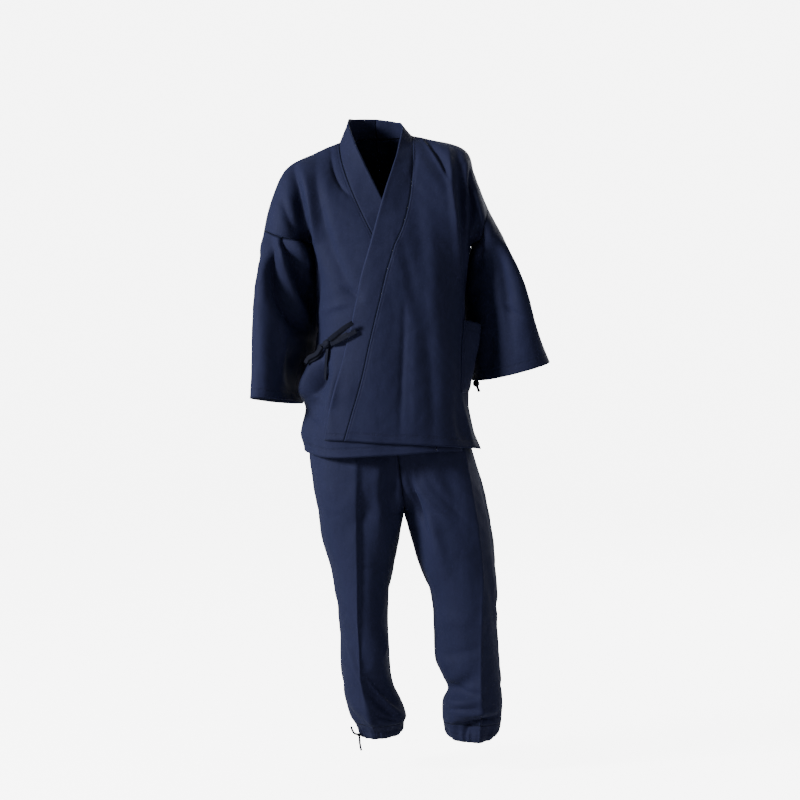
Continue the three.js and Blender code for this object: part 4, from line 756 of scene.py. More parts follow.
class Patch:
    """A surface on rows and columns, with lengths along it in metres and its distances to edges."""

    def __init__(self, points, centre, sewn=(), stitched=(), hems=(), free=()):
        self.points, self.centre = points, centre
        self.across = self.lengths(1)
        self.along = self.lengths(0)
        self.edges = {"ditch_far": sewn, "seam_far": stitched, "hem_far": hems, "free_far": free}
        self.places = None

    def lengths(self, axis):
        """The lengths of the cells' sides, added up along an axis, in metres."""
        steps = np.linalg.norm(np.diff(self.points, axis=axis), axis=-1) * MM
        pads = [(0, 0), (0, 0)]
        pads[axis] = (1, 0)
        return np.pad(np.cumsum(steps, axis), pads)

    def distance(self, edge):
        """The distance in metres to one edge, to the middle column, or to the neckline, which is
        the first part of a back's top edge."""
        to_top = self.along[-1:] - self.along
        return {
            "left": self.across,
            "right": self.across[:, -1:] - self.across,
            "bottom": self.along,
            "top": to_top,
            "middle": np.abs(self.across - self.across[:, self.across.shape[1] // 2, None]),
            "neck": np.where(np.arange(to_top.shape[1]) <= NECK_COLUMNS, to_top, 1.0),
        }[edge]

    def nearest(self, kind):
        """The distance to the nearest edge of a kind. An edge may carry a shift that is added."""
        best = np.ones(self.across.shape)
        for edge in self.edges[kind]:
            name, shift = edge if isinstance(edge, tuple) else (edge, 0)
            best = np.minimum(best, self.distance(name) + shift)
        return best

    def faces(self):
        """Four corners of each cell, turned away from the patch's middle line."""
        rows, columns = self.points.shape[0] - 1, self.points.shape[1] - 1
        a = (np.arange(rows)[:, None] * (columns + 1) + np.arange(columns)).ravel()
        quads = np.stack([a, a + 1, a + columns + 2, a + columns + 1], 1)
        flat = self.points.reshape(-1, 3)
        corner = flat[quads]
        normal = np.cross(corner[:, 2] - corner[:, 0], corner[:, 3] - corner[:, 1])
        outward = (normal[:, :2] * (corner[:, 0, :2] - np.array(self.centre)[:2])).sum()
        return quads if outward >= 0 else quads[:, ::-1]


# Points are welded on a grid of so many places to the millimetre. A row is made level within
# LEVEL_REACH of its height, and the folds come back between the two distances from a calm place.
WELD_GRID = 200
LEVEL_REACH = 0.01
CALM_REACH = (10, 55)


class Garment:
    """Patches welded on one list of points, so that both sides of a seam move together. pieces gives
    for each piece the name of its cloth, which its folds go by, and its patches."""

    def __init__(self, pieces):
        self.pieces = pieces
        patches = [patch for _cloth, group in pieces.values() for patch in group]
        flat = np.concatenate([patch.points.reshape(-1, 3) for patch in patches])
        keys = np.round(flat * WELD_GRID).astype(np.int64)
        _keys, first, inverse = np.unique(keys, axis=0, return_index=True, return_inverse=True)
        self.points = self.unfolded = flat[first]
        counts = [patch.points.size // 3 for patch in patches]
        for patch, places in zip(patches, np.split(inverse.reshape(-1), np.cumsum(counts)[:-1])):
            patch.places = places
        self.quads = np.concatenate([patch.places[patch.faces()] for patch in patches])
        self.normals = self.facing_out()

    def facing_out(self, level=()):
        """The mean direction of the cells round each point, made level on rows at given heights."""
        corner = self.points[self.quads]
        normal = np.cross(corner[:, 2] - corner[:, 0], corner[:, 3] - corner[:, 1])
        total = np.stack([
            np.bincount(self.quads.ravel(), np.repeat(normal[:, axis], 4), len(self.points))
            for axis in range(3)
        ], 1)
        for z in level:
            total[np.abs(self.points[:, 2] - z) < LEVEL_REACH, 2] = 0
        return unit(total)

    def press(self, level=(), calm=()):
        """Lifts each point along its normal by the folds of its own cloths and by the rumple. Around
        the calm places, upright lines from z down to another z, the cloth stays as it is."""
        settings = bpy.context.scene.samue_cloth
        normals = self.facing_out(level)
        lift = rumple(self.points)
        for cloth in dict.fromkeys(cloth for cloth, _group in self.pieces.values()):
            place = np.unique(np.concatenate([
                patch.places for own, group in self.pieces.values() if own == cloth for patch in group]))
            for folds, strength in ((BROAD_FOLDS, settings.broad_folds), (FINE_FOLDS, settings.fine_folds)):
                lift[place] += strength * folds_on(self.points[place], normals[place], folds, cloth)
        for x, y, high, low in calm:
            line = stacked(x, y, np.clip(self.points[:, 2], low, high))
            lift *= step(*CALM_REACH, np.linalg.norm(self.points - line, axis=1))
        self.points = self.points + normals * lift[:, None]
        self.normals = self.facing_out(level)

    def carried(self, place):
        """Moves a place as the folds moved the cloth nearest to it."""
        nearest = np.linalg.norm(self.unfolded - place, axis=1).argmin()
        return place + self.points[nearest] - self.unfolded[nearest]


# Curves and tubes

def through(points, count):
    """A smooth curve through points: centripetal Catmull-Rom, with the end points mirrored."""
    p = np.array(points, float)
    p = np.concatenate([[2 * p[0] - p[1]], p, [2 * p[-1] - p[-2]]])
    knots = np.concatenate([[0], np.cumsum(np.sqrt(np.diff(run_along(p))))])
    place = np.linspace(0, len(points) - 1, count)
    i = np.clip(place.astype(int), 0, len(points) - 2)
    t0, t1, t2, t3 = (knots[i + k] for k in range(4))
    t = t1 + (place - i) * (t2 - t1)

    def blend(a, b, low, high):
        return mix(a, b, ((t - low) / (high - low))[:, None])
    a1, a2 = blend(p[i], p[i + 1], t0, t1), blend(p[i + 1], p[i + 2], t1, t2)
    a3 = blend(p[i + 2], p[i + 3], t2, t3)
    return blend(blend(a1, a2, t0, t2), blend(a2, a3, t1, t3), t1, t2)


# How far the first ring at a tube's end is drawn in, and the width of the tube's UV strip in metres.
CAP_SHARE = 0.45
TUBE_UV_WIDTH = 0.01


def tube(rings):
    """A closed tube over rings of points, each end drawn in to its middle."""
    ends = [rings[0].mean(0), rings[-1].mean(0)]
    capped = [mix(rings[0], ends[0], CAP_SHARE), *rings, mix(rings[-1], ends[1], CAP_SHARE)]
    points = np.concatenate([*capped, [ends[0]], [ends[1]]])
    count, around = len(capped), rings.shape[1]
    i = np.arange(around)
    j = (i + 1) % around
    starts = np.arange(count - 1)[:, None] * around
    a, b = (starts + i).ravel(), (starts + j).ravel()
    quads = np.stack([a, b, b + around, a + around], 1)
    last = (count - 1) * around
    low = np.stack([np.full(around, len(points) - 2), j, i], 1)
    high = np.stack([np.full(around, len(points) - 1), last + i, last + j], 1)
    faces = [*quads.tolist(), *low.tolist(), *high.tolist()]
    corner = points[np.concatenate([quads[:, :3], quads[:, [0, 2, 3]], low, high])]
    volume = np.einsum("ij,ij->i", corner[:, 0], np.cross(corner[:, 1], corner[:, 2])).sum()
    if volume < 0:
        faces = [face[::-1] for face in faces]
    line = run_along([ring.mean(0) for ring in capped]) * MM
    uv = np.stack([np.tile(i / around, count) * TUBE_UV_WIDTH, np.repeat(line, around)], 1)
    return points, faces, np.concatenate([uv, [[0, 0], [0, line[-1]]]])


def frames_along(path, wide):
    """The directions of the width and of the thickness at each point of a path."""
    tangent = unit(np.gradient(path, axis=0))
    wide = unit(wide - (wide * tangent).sum(-1, keepdims=True) * tangent)
    return wide, np.cross(tangent, wide)


# A tape's section: how square its width and its edges are, its thickness at the middle and what
# its folded edges add, and how its width wavers from one ring to the next.
TAPE_SQUARE = (0.5, 0.7)
TAPE_MIDDLE = 0.8
TAPE_EDGES = 0.25
TAPE_WAVER = (0.035, 0.9)
TAPE_RING = 20
# A cord's strands: their number, the length of one turn, how deep the grooves are, and a direction
# that no cord runs in.
STRANDS = 3
LAY_LENGTH = 11
STRAND_GROOVE = 0.2
CORD_RING = 18
CORD_SIDE = (0.83, 0.31, 0.46)


def tape_rings(path, wide, width, thickness):
    """A flat tape carried along a path: its section is a squared oval, thinner at its middle than at
    its folded edges, and its width wavers a little."""
    wide, out = frames_along(path, wide)
    turn = turns(TAPE_RING)
    x = signed_power(np.cos(turn), TAPE_SQUARE[0]) * width / 2
    y = signed_power(np.sin(turn), TAPE_SQUARE[1]) * thickness / 2
    y = y * (TAPE_MIDDLE + TAPE_EDGES * (x / (width / 2)) ** 4)
    much, quick = TAPE_WAVER
    waver = 1 - much * (1 + np.sin(np.arange(len(path)) * quick))[:, None, None]
    return path[:, None] + wide[:, None] * (x[:, None] * waver) + out[:, None] * y[:, None]


def cord_rings(path, diameter):
    """A twisted cord: a circle with a shallow groove between strands that turns along the path. The
    radius falls with the cosine of half the strands' angle."""
    wide, out = frames_along(path, np.array(CORD_SIDE) + 0 * path)
    turn = turns(CORD_RING)
    twist = turn * STRANDS + 2 * np.pi * run_along(path)[:, None] / LAY_LENGTH
    radius = diameter / 2 * (1 - STRAND_GROOVE * (1 - np.abs(np.cos(twist / 2))))
    ring = wide[:, None] * np.cos(turn)[:, None] + out[:, None] * np.sin(turn)[:, None]
    return path[:, None] + radius[..., None] * ring


# A knot's lump: its rings and their points, how square it is, where its grooves cut it along the
# slant, how much they lean and how wide they are, and where they fade.
KNOT_GRID = (22, 40)
KNOT_SQUARE = 2.6
KNOT_SLANT = (0.75, 0.2, 0.62)
KNOT_CROSS = (-0.6, 0.3, 0.74)
KNOT_CUTS = (-0.62, 0, 0.62)
KNOT_LEAN = 0.12
KNOT_CUT_WIDTH = 0.085
KNOT_FADE = (-0.9, -0.2)


def globe(rows, columns):
    """Directions on a ball, on rings from one pole to the other without the poles."""
    rise = np.linspace(0, np.pi, rows + 2)[1:-1, None]
    turn = turns(columns)
    return stacked(np.sin(rise) * np.cos(turn), np.sin(rise) * np.sin(turn), np.cos(rise))


def knot_rings(centre, size, groove, turned=np.eye(3)):
    """A tied lump: a squared ball drawn to its three sizes, cut by bell-shaped grooves that run round
    it on a slant where one wrap of the tape or cord lies beside the next."""
    way = globe(*KNOT_GRID)
    slant, cross = way @ unit(np.array(KNOT_SLANT)), way @ unit(np.array(KNOT_CROSS))
    depth = sum(np.exp(-((slant - cut + KNOT_LEAN * cross) / KNOT_CUT_WIDTH) ** 2) for cut in KNOT_CUTS)
    radius = 1 - groove * np.minimum(depth, 1) * step(*KNOT_FADE, cross)
    squared = way / (np.abs(way) ** KNOT_SQUARE).sum(-1, keepdims=True) ** (1 / KNOT_SQUARE)
    return squared * radius[..., None] * np.array(size) / 2 @ turned.T + np.array(centre)


# Finishes

SHEEN_ROUGHNESS = 0.45
SHEEN_TINT = (0.35, 0.5, 1.0, 1.0)
SPECULAR = 0.12
# The distance between threads in metres. The others say how fine the noise is, in cells to the metre,
# for thicker stretches of thread (across, along), faded patches, creases, crumples and puckers.
THREAD = 0.00055
SLUB_STRETCH = (1500, 70)
FADE_SCALE = 7.0
CREASE_SCALE = 20.0
CRUMPLE_SCALE = 60.0
PUCKER_SCALE = 110
# Where the stitch lines run from a seam and from a hem's edge, the length of a stitch and the line's
# width, in metres.
SEAM_STITCH = 0.0055
HEM_STITCH = 0.020
STITCH = 0.0042
STITCH_LINE = (0.0003, 0.0007)
STITCH_GAP = (-0.9, 0.4)
# How far each mark reaches from its line or edge: the marks of the sewing, and at free edges the thinning and
# the painted highlight where the edge rounds off.
REACH = {"seam": 0.0032, "hem": 0.0045, "ditch": 0.0022, "worn": 0.004, "thinned": 0.003}
# What each mark adds to the shade, and in metres to the height. In the shade, crumple is painted light on the
# crumples' crests and painted shade in their hollows, pucker and sunk are painted shade in the puckers and
# the seams' ditches, and the lightening at free edges is a painted highlight.
SHADES = {"slub": 0.34, "fade": 0.22, "weave": 0.05, "crumple": 0.12,
          "stitches": 0.5, "pucker": -0.15, "sunk": -0.25, "worn": 0.25}
HEIGHTS = {"weave": 0.00003, "slub": 0.00012, "creases": 0.0034, "crumple": 0.0004,
           "stitches": 0.00025, "sunk": -0.0008, "pucker": -0.0007, "thinned": -0.0008}
# The steady part of a pucker's depth, and how much of the noise is added to it.
PUCKER_WAVER = (0.7, 2.4)
# The cords' yarn: how fine its lines and patches are, and what they add.
YARN = {"scale": 900.0, "stretch": (1, 1, 0.35), "shade": 0.5, "height": 0.0003}
CORD_FADE = {"scale": 60.0, "shade": 0.2}


def set_shader(tree, values):
    """Sets sockets of a material's own shader by name, and returns the shader."""
    shader = next(node for node in tree.nodes if node.type == "BSDF_PRINCIPLED")
    for name, value in values.items():
        shader.inputs[name].default_value = value
    return shader


class Finish:
    """Adds shader nodes and links them, so that a finish reads as a few sums."""

    def __init__(self, name, colour, roughness, sheen):
        self.material = bpy.data.materials.new(name)
        self.material.use_nodes = True
        self.tree = self.material.node_tree
        self.shader = set_shader(self.tree, {
            "Roughness": roughness, "Sheen Weight": sheen, "Sheen Roughness": SHEEN_ROUGHNESS,
            "Sheen Tint": SHEEN_TINT, "Specular IOR Level": SPECULAR})
        self.colour = tuple(colour)
        self.material.diffuse_color = (*self.colour, 1)

    def node(self, kind, **inputs):
        """Adds a node and feeds its inputs, named with _ for a space."""
        made = self.tree.nodes.new("ShaderNode" + kind)
        for name, value in inputs.items():
            self.feed(made.inputs[name.replace("_", " ")], value)
        return made

    def feed(self, socket, value):
        """Links a socket to another, or sets it."""
        if isinstance(value, bpy.types.NodeSocket):
            self.tree.links.new(value, socket)
        else:
            socket.default_value = value

    def sum(self, operation, *values):
        """The result of one Math node."""
        made = self.tree.nodes.new("ShaderNodeMath")
        made.operation = operation
        for socket, value in zip(made.inputs, values):
            self.feed(socket, value)
        return made.outputs[0]

    def total(self, *values):
        """All the values added up."""
        return functools.reduce(lambda result, value: self.sum("ADD", result, value), values)

    def times(self, value, factor):
        """A value multiplied by a factor."""
        return self.sum("MULTIPLY", value, factor)

    def fall(self, value, low, high):
        """1 below low, 0 above high, with a soft change between them."""
        made = self.node("MapRange", Value=value)
        made.interpolation_type = "SMOOTHSTEP"
        for name, number in (("From Min", low), ("From Max", high), ("To Min", 1.0), ("To Max", 0.0)):
            made.inputs[name].default_value = number
        return made.outputs[0]

    def noise(self, place, scale, stretch=(1, 1, 1), detail=2.0, distortion=0.0):
        """Noise about 0, stretched along the axes."""
        made = self.node("Mapping", Vector=place, Scale=stretch)
        noise = self.node(
            "TexNoise", Vector=made.outputs[0], Scale=scale, Detail=detail, Distortion=distortion)
        return self.sum("SUBTRACT", noise.outputs["Fac"], 0.5)

    def attribute(self, name):
        """The value of a corner attribute."""
        made = self.tree.nodes.new("ShaderNodeAttribute")
        made.attribute_name = name
        return made.outputs["Fac"]

    def close(self, shade, height):
        """Scales the colour by the shade and turns the height, in metres, into a bump."""
        scaled = self.node("VectorMath")
        scaled.operation = "SCALE"
        scaled.inputs[0].default_value = self.colour
        self.feed(scaled.inputs["Scale"], shade)
        self.tree.links.new(scaled.outputs[0], self.shader.inputs["Base Color"])
        bump = self.node("Bump", Height=height, Strength=1.0, Distance=1.0)
        self.tree.links.new(bump.outputs[0], self.shader.inputs["Normal"])
        return self.material


def woven_finish(name, colour, settings, seams=True):
    """Plain weave: crossed sines for the threads, stretched noise for their uneven thickness, soft noise for
    small creases and for faded patches; the crumples also get painted light on their crests and painted shade
    in their hollows. Near seams it sinks and darkens with painted shade, along stitch lines it puckers,
    darkened with painted shade, and shows short stitches, and at free edges a painted highlight makes it a
    little lighter where the edge rounds off."""
    finish = Finish(name, colour, settings.roughness, settings.sheen)
    uv = finish.node("UVMap")
    uv.uv_map = "cloth"
    cloth = uv.outputs[0]
    place = finish.node("TexCoord").outputs["Object"]
    split = finish.node("SeparateXYZ", Vector=cloth)

    def sine(axis, turns_a_metre):
        return finish.sum("SINE", finish.times(split.outputs[axis], 2 * math.pi * turns_a_metre))

    def part(amounts, name, value):
        return finish.times(value, amounts[name])
    weave = finish.times(sine("X", 0.5 / THREAD), sine("Y", 0.5 / THREAD))
    long, short = SLUB_STRETCH
    slub = finish.total(
        finish.noise(cloth, 1.0, (long, short, 1)), finish.noise(cloth, 1.0, (short, long, 1)))
    fade = finish.noise(place, FADE_SCALE, detail=3.0, distortion=0.6)
    creases = finish.noise(place, CREASE_SCALE, (1.0, 1.0, 0.5), distortion=0.3)
    crumple = finish.noise(place, CRUMPLE_SCALE, (1.0, 1.0, 0.6), distortion=0.2)
    # The crumple term in the shade is painted light on the crumples' crests and painted shade in their
    # hollows; slub, fade and weave are the cloth's own tone.
    shade = finish.total(
        1.0, part(SHADES, "slub", slub), part(SHADES, "fade", fade), part(SHADES, "weave", weave),
        part(SHADES, "crumple", crumple))
    height = finish.total(
        part(HEIGHTS, "weave", weave), part(HEIGHTS, "slub", slub),
        finish.times(creases, HEIGHTS["creases"] * settings.crease_bump),
        finish.times(crumple, HEIGHTS["crumple"] * settings.crease_bump))
    if seams:
        def from_line(attribute, line):
            return finish.sum("ABSOLUTE", finish.sum("SUBTRACT", finish.attribute(attribute), line))

        def stitch_row(line, axis):
            return finish.times(
                finish.fall(line, *STITCH_LINE), finish.fall(sine(axis, 1 / STITCH), *STITCH_GAP))
        seam, hem = from_line("seam_far", SEAM_STITCH), from_line("hem_far", HEM_STITCH)
        free = finish.attribute("free_far")
        stitches = finish.total(stitch_row(seam, "Y"), stitch_row(hem, "X"))
        # The puckers beside the stitch lines sink in the height and are darkened as painted shade.
        pucker = finish.total(finish.fall(seam, 0.0, REACH["seam"]), finish.fall(hem, 0.0, REACH["hem"]))
        waver = finish.noise(cloth, 1.0, (PUCKER_SCALE, PUCKER_SCALE, 1))
        # sunk: the ditch beside each seam, sunk in the height and darkened as painted shade.
        sunk = finish.fall(finish.attribute("ditch_far"), 0.0, REACH["ditch"])
        # The lightening at the free edges below is a painted highlight where the edge rounds off.
        shade = finish.times(shade, finish.total(
            1.0, part(SHADES, "stitches", stitches), part(SHADES, "pucker", pucker),
            part(SHADES, "sunk", sunk), part(SHADES, "worn", finish.fall(free, 0.0, REACH["worn"]))))
        steady, uneven = PUCKER_WAVER
        wavered = finish.times(pucker, finish.total(steady, finish.times(waver, uneven)))
        height = finish.total(
            height, part(HEIGHTS, "stitches", stitches), part(HEIGHTS, "sunk", sunk),
            part(HEIGHTS, "pucker", wavered),
            part(HEIGHTS, "thinned", finish.fall(free, 0.0, REACH["thinned"])))
    return finish.close(shade, height)


def cord_finish(name, colour, settings):
    """Twisted cord: fine slanted yarn lines and soft patches."""
    finish = Finish(name, colour, settings.roughness, settings.sheen)
    place = finish.node("TexCoord").outputs["Object"]
    yarn = finish.noise(place, YARN["scale"], YARN["stretch"])
    fade = finish.noise(place, CORD_FADE["scale"])
    shade = finish.total(1.0, finish.times(yarn, YARN["shade"]), finish.times(fade, CORD_FADE["shade"]))
    return finish.close(shade, finish.times(yarn, YARN["height"]))


@functools.lru_cache(maxsize=None)
def finish_named(name):
    """The finishes, each made once from the settings of the scene."""
    settings = bpy.context.scene.samue_cloth
    if name == "navy_cord":
        return cord_finish("Navy_twisted_cord", settings.cord_colour, settings)
    if name == "navy_tape":
        return woven_finish("Navy_tape_cotton", settings.tape_colour, settings, seams=False)
    if name == "navy_band":
        return woven_finish("Navy_band_cotton", settings.band_colour, settings)
    return woven_finish("Navy_cotton_weave", settings.cotton_colour, settings)


# Meshes

def linked(name, data):
    """A new object in the scene."""
    thing = bpy.data.objects.new(name, data)
    bpy.context.scene.collection.objects.link(thing)
    return thing


def put(name, mesh, node, slot):
    """Links a finished mesh, rides it on the frame and lets it stand for its solid."""
    piece = linked(name, mesh)
    mesh.materials.append(finish_named(slot))
    mesh.polygons.foreach_set("use_smooth", np.ones(len(mesh.polygons), bool))
    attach(piece, "root")
    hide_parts(node)
    return piece


def cloth_piece(garment, name, slot, wall):
    """One piece of a garment: its cells as faces, its lengths as UVs, its distances to seams and
    edges as attributes of the corners, and a wall inside its face."""
    patches = garment.pieces[name][1]
    corners = [patch.faces() for patch in patches]
    placed = np.concatenate([patch.places[corner] for patch, corner in zip(patches, corners)])
    used, quads = np.unique(placed, return_inverse=True)
    mesh = bpy.data.meshes.new(name)
    mesh.from_pydata((garment.points[used] * MM).tolist(), [], quads.reshape(-1, 4).tolist())

    def at_corners(read):
        return np.concatenate([
            read(patch).ravel()[corner.ravel()] for patch, corner in zip(patches, corners)])
    uv = np.stack([at_corners(lambda patch: patch.across), at_corners(lambda patch: patch.along)], 1)
    mesh.uv_layers.new(name="cloth").data.foreach_set("uv", uv.ravel().astype(np.float32))
    for kind in patches[0].edges:
        layer = mesh.attributes.new(kind, "FLOAT", "CORNER")
        far = at_corners(lambda patch: patch.nearest(kind))
        layer.data.foreach_set("value", far.astype(np.float32))
    piece = put(name + "_cloth", mesh, name, slot)
    solid = piece.modifiers.new("Wall", "SOLIDIFY")
    solid.thickness = wall
    solid.offset = -1
    solid.use_quality_normals = True
    return piece


def tube_piece(name, rings, node, slot):
    """A closed tube or lump as one piece."""
    points, faces, uv = tube(rings)
    mesh = bpy.data.meshes.new(name)
    mesh.from_pydata((points * MM).tolist(), [], faces)
    corners = np.concatenate([np.array(face) for face in faces])
    mesh.uv_layers.new(name="cloth").data.foreach_set("uv", uv[corners].ravel().astype(np.float32))
    return put(name, mesh, node, slot)


# Garments

# The middle lines that the cloth turns its face away from: of the torso, of each leg, and the station
# of each sleeve that gives its own. The collar's hem is sewn nearer its edge by the shift, in metres.
# The calm places are upright lines under the arms: x, y and both heights.
TORSO_CENTRE = (36, 0)
LEG_CENTRE = {"right": (-30, 0), "left": (190, 0)}
SLEEVE_MIDDLE = 0.6
COLLAR_HEM_SHIFT = 0.005
UNDERARMS = ((-145, 5, -230, -300), (216, 5, -230, -300))
# The casing's gathers: the share of each height over which they grow, how many finer ones there are
# to one, how uneven they are, the bulge over the cord (rise, height, width) and the turned-in hem.
GATHERS_GROW = (0, 0.45)
FINE_GROW = (0.02, 0.6)
FINE_TO_ONE = 2.6
FINE_UNEVEN = 2.3
CORD_BULGE = (1.6, 0.7, 0.2)
HEM_TUCK = 1.4
HEM_TUCK_FROM = 0.9
CASING_STITCH = 0.018
CASING_HEM_SHIFT = HEM_STITCH - CASING_STITCH
# The waistband's gathers: their number, how they grow from the seam and how they fade at the top.
BAND_GATHERS = 46
BAND_GROW = (0, 0.3)
BAND_TOP = (0, 0.2, 1.02)


@functools.lru_cache(maxsize=None)
def jacket():
    """The jacket's bodies, collars and sleeves on one list of points, with their folds pressed in."""
    pieces = {}
    for side in ("right", "left"):
        pieces[f"body_{side}"] = ("body", [
            Patch(body_points(side, skirt_front, yoke_front, FRONT_COLUMNS), TORSO_CENTRE,
                  sewn=("left", "right"), stitched=("left",), hems=("bottom",), free=("bottom",)),
            Patch(body_points(side, skirt_back, yoke_back, FRONT_COLUMNS + NECK_COLUMNS), TORSO_CENTRE,
                  sewn=("left", "right", "neck"), hems=("bottom",), free=("bottom",)),
        ])
        pieces[f"collar_{side}"] = ("body", [
            Patch(collar_points(side), (0, 0), sewn=("left", "top"), free=("right", "bottom"),
                  hems=(("bottom", COLLAR_HEM_SHIFT),)),
        ])
        out_x, in_x, y = (
            float(SLEEVES[side](name, SLEEVE_MIDDLE)) for name in ("outX", "inX", "middleY"))
        pieces[f"sleeve_{side}"] = (f"sleeve_{side}", [
            Patch(sleeve_points(side), ((out_x + in_x) / 2, y), sewn=("bottom", "middle"),
                  hems=("top",), free=("top",)),
        ])
    garment = Garment(pieces)
    garment.press(calm=UNDERARMS)
    return garment


@functools.lru_cache(maxsize=None)
def trousers():
    """The trousers' four panels on one list of points, with their folds pressed in."""
    pieces = {}
    for side in ("right", "left"):
        for face in ("front", "back"):
            pieces[f"trousers_{face}_{side}"] = (f"leg_{side}", [
                Patch(leg_points(side, face), LEG_CENTRE[side],
                      sewn=("left", "right", "bottom", "top")),
            ])
    garment = Garment(pieces)
    garment.press(level=(CASING_TOP_Z, WAIST_Z))
    return garment


def panel_row(side, face, row):
    """The finished points of one row of a trouser panel, from the inner seam to the outer."""
    columns = LEG_COLUMNS + 1
    places = trousers().pieces[f"trousers_{face}_{side}"][1][0].places
    return trousers().points[places[row * columns:(row + 1) * columns]]


def cloth_at(side, across, up):
    """Points and outward directions of the finished front, read between its cells."""
    garment = jacket()
    patch = garment.pieces[f"body_{side}"][1][0]
    columns = FRONT_COLUMNS + 1
    i = np.clip((across * FRONT_COLUMNS).astype(int), 0, FRONT_COLUMNS - 1)
    j = np.clip((up * SKIRT_ROWS).astype(int), 0, SKIRT_ROWS - 1)
    s, t = (across * FRONT_COLUMNS - i)[..., None], (up * SKIRT_ROWS - j)[..., None]

    def read(values):
        def corner(di, dj):
            return values[patch.places[(j + dj) * columns + i + di]]
        return mix(mix(corner(0, 0), corner(1, 0), s), mix(corner(0, 1), corner(1, 1), s), t)
    return read(garment.points), unit(read(garment.normals))


def cloth_over(side, x, z):
    """The same for places given as seen from the front."""
    start = front_angle(z, COLLAR_LINE(side + "Seam", z))
    across = (front_angle(z, x) - start) / (math.radians(90) * SIGN[side] - start)
    hem = HEM_LINE(side, across)
    return cloth_at(side, across, (z - hem) / (UNDERARM_Z - hem))


def pocket_garment(wall):
    """The pocket lies on the left front. It rises by its own thickness within its sewn edges, and its
    mouth stands open in an arch that sinks away downwards."""
    beside, low = shares(POCKET_CELLS)[None, :], shares(POCKET_CELLS)[:, None]
    across = mix(POCKET_EDGE("across", low), POCKET_OUTER, beside)
    z = mix(POCKET_TOP_Z - POCKET_SLOPE * beside, POCKET_BOTTOM_Z, low)
    hem = HEM_LINE("left", across)
    point, normal = cloth_at("left", across, (z - hem) / (UNDERARM_Z - hem))
    gape = POCKET_GAPE * np.sin(np.pi * beside ** POCKET_GAPE_LEAN) * (1 - low ** POCKET_GAPE_SINK)
    at_sides, at_bottom = POCKET_BORDER
    border = np.minimum(np.minimum(beside, 1 - beside) * at_sides, (1 - low) * at_bottom)
    lift = wall / MM + POCKET_CLEARANCE + POCKET_SWELL * step(0, 1, border) + gape
    patch = Patch(point + normal * lift[..., None], TORSO_CENTRE, stitched=("left", "right"),
                  hems=(("top", HEM_STITCH - SEAM_STITCH), "bottom"), free=("left", "right", "top", "bottom"))
    return Garment({"pocket": ("pocket", [patch])})


def casing_garment(side, settings):
    """The hem casing runs from the leg's own edge down to the drawn hem. Gathers of uneven spacing
    grow towards the cord, where the cloth bulges over it."""
    ring = np.concatenate([panel_row(side, "front", 0), panel_row(side, "back", 0)[::-1][1:-1]])
    closed = np.concatenate([ring, ring[:1]])
    turned = shares(CASING_COLUMNS)
    at = turned * len(ring)
    top = stacked(*(np.interp(at, np.arange(len(closed)), line) for line in closed.T))[None]
    place = (turned * 2)[None]
    low = shares(CASING_ROWS)[:, None]
    z = mix(CASING_TOP_Z, HEM_LEVEL[side]("z", np.where(place <= 1, place, 2 - place)), low)

    def section(height):
        height = height + 0 * place
        return np.where((place <= 1)[..., None], leg_point(side, "front", height, 1 - 2 * place),
                        leg_point(side, "back", height, 2 * place - 3))
    shift = (top - section(CASING_TOP_Z + 0 * place)) * ((1 - low) ** 2)[..., None]
    shift[..., 2] = 0
    point = section(z) + shift
    number, depth, phase = GATHERS[side]
    wave = np.cos(np.pi * number * place + phase * np.sin(3 * np.pi * place))
    fine = np.cos(np.pi * number * FINE_TO_ONE * place + FINE_UNEVEN * np.sin(5 * np.pi * place))
    bulge, bulge_at, bulge_width = CORD_BULGE
    out = (depth * wave * step(*GATHERS_GROW, low)
           + settings.gather_depth / MM * fine * step(*FINE_GROW, low)
           + bulge * np.exp(-((low - bulge_at) / bulge_width) ** 2)
           - HEM_TUCK * step(HEM_TUCK_FROM, 1, low))
    point = point + unit(point - stacked(*HEM_CENTRE[side], z)) * out[..., None]
    point[0] = top[0]
    patch = Patch(point, HEM_CENTRE[side], sewn=("bottom",), hems=(("top", CASING_HEM_SHIFT),),
                  free=("top",))
    return Garment({f"hem_casing_{side}": ("casing", [patch])})


def waistband_garment(settings):
    """The waistband stands on the trousers' upper edge, drawn into fine upright gathers."""
    last = (len(LEG_HEIGHTS) - 1) * LEG_SPLIT
    ring = np.concatenate([
        panel_row("right", "front", last), panel_row("right", "back", last)[::-1][1:],
        panel_row("left", "back", last)[1:], panel_row("left", "front", last)[::-1][1:]])
    high = shares(BAND_ROWS)[:, None]
    x, y, z = ring.T
    point = stacked(x, y, z + WAISTBAND_HEIGHT * high)
    turned = shares(len(ring) - 1)
    wave = np.sin(2 * np.pi * BAND_GATHERS * turned + 2 * np.sin(10 * np.pi * turned))
    fade_from, fade_to, rim = BAND_TOP
    out = settings.gather_depth / MM * wave * step(*BAND_GROW, high) * step(fade_from, fade_to, rim - high)
    centre = stacked(TORSO_CENTRE[0], 0, point[..., 2])
    point = point + unit(point - centre) * out[..., None]
    patch = Patch(point, TORSO_CENTRE, sewn=("bottom",), free=("top",))
    return Garment({"waistband": ("band", [patch])})


def tape_path(name):
    """A tape's middle line over the right front, and the direction of its width."""
    rows = np.array(TAPES[name], float)
    point, normal = cloth_over("right", rows[:, 0], rows[:, 1])
    path = through(point + normal * rows[:, 2:], PATH_POINTS["tape"])
    far = path[np.linalg.norm(path - path[0], axis=1).argmax()]
    run = unit(far - path[0])
    out = unit(normal.mean(0))
    wide = unit(np.cross(out, run))
    lean = math.radians(TAPE_TURN.get(name, 0))
    wide = wide * math.cos(lean) + out * math.sin(lean)
    return path, np.broadcast_to(wide, path.shape)


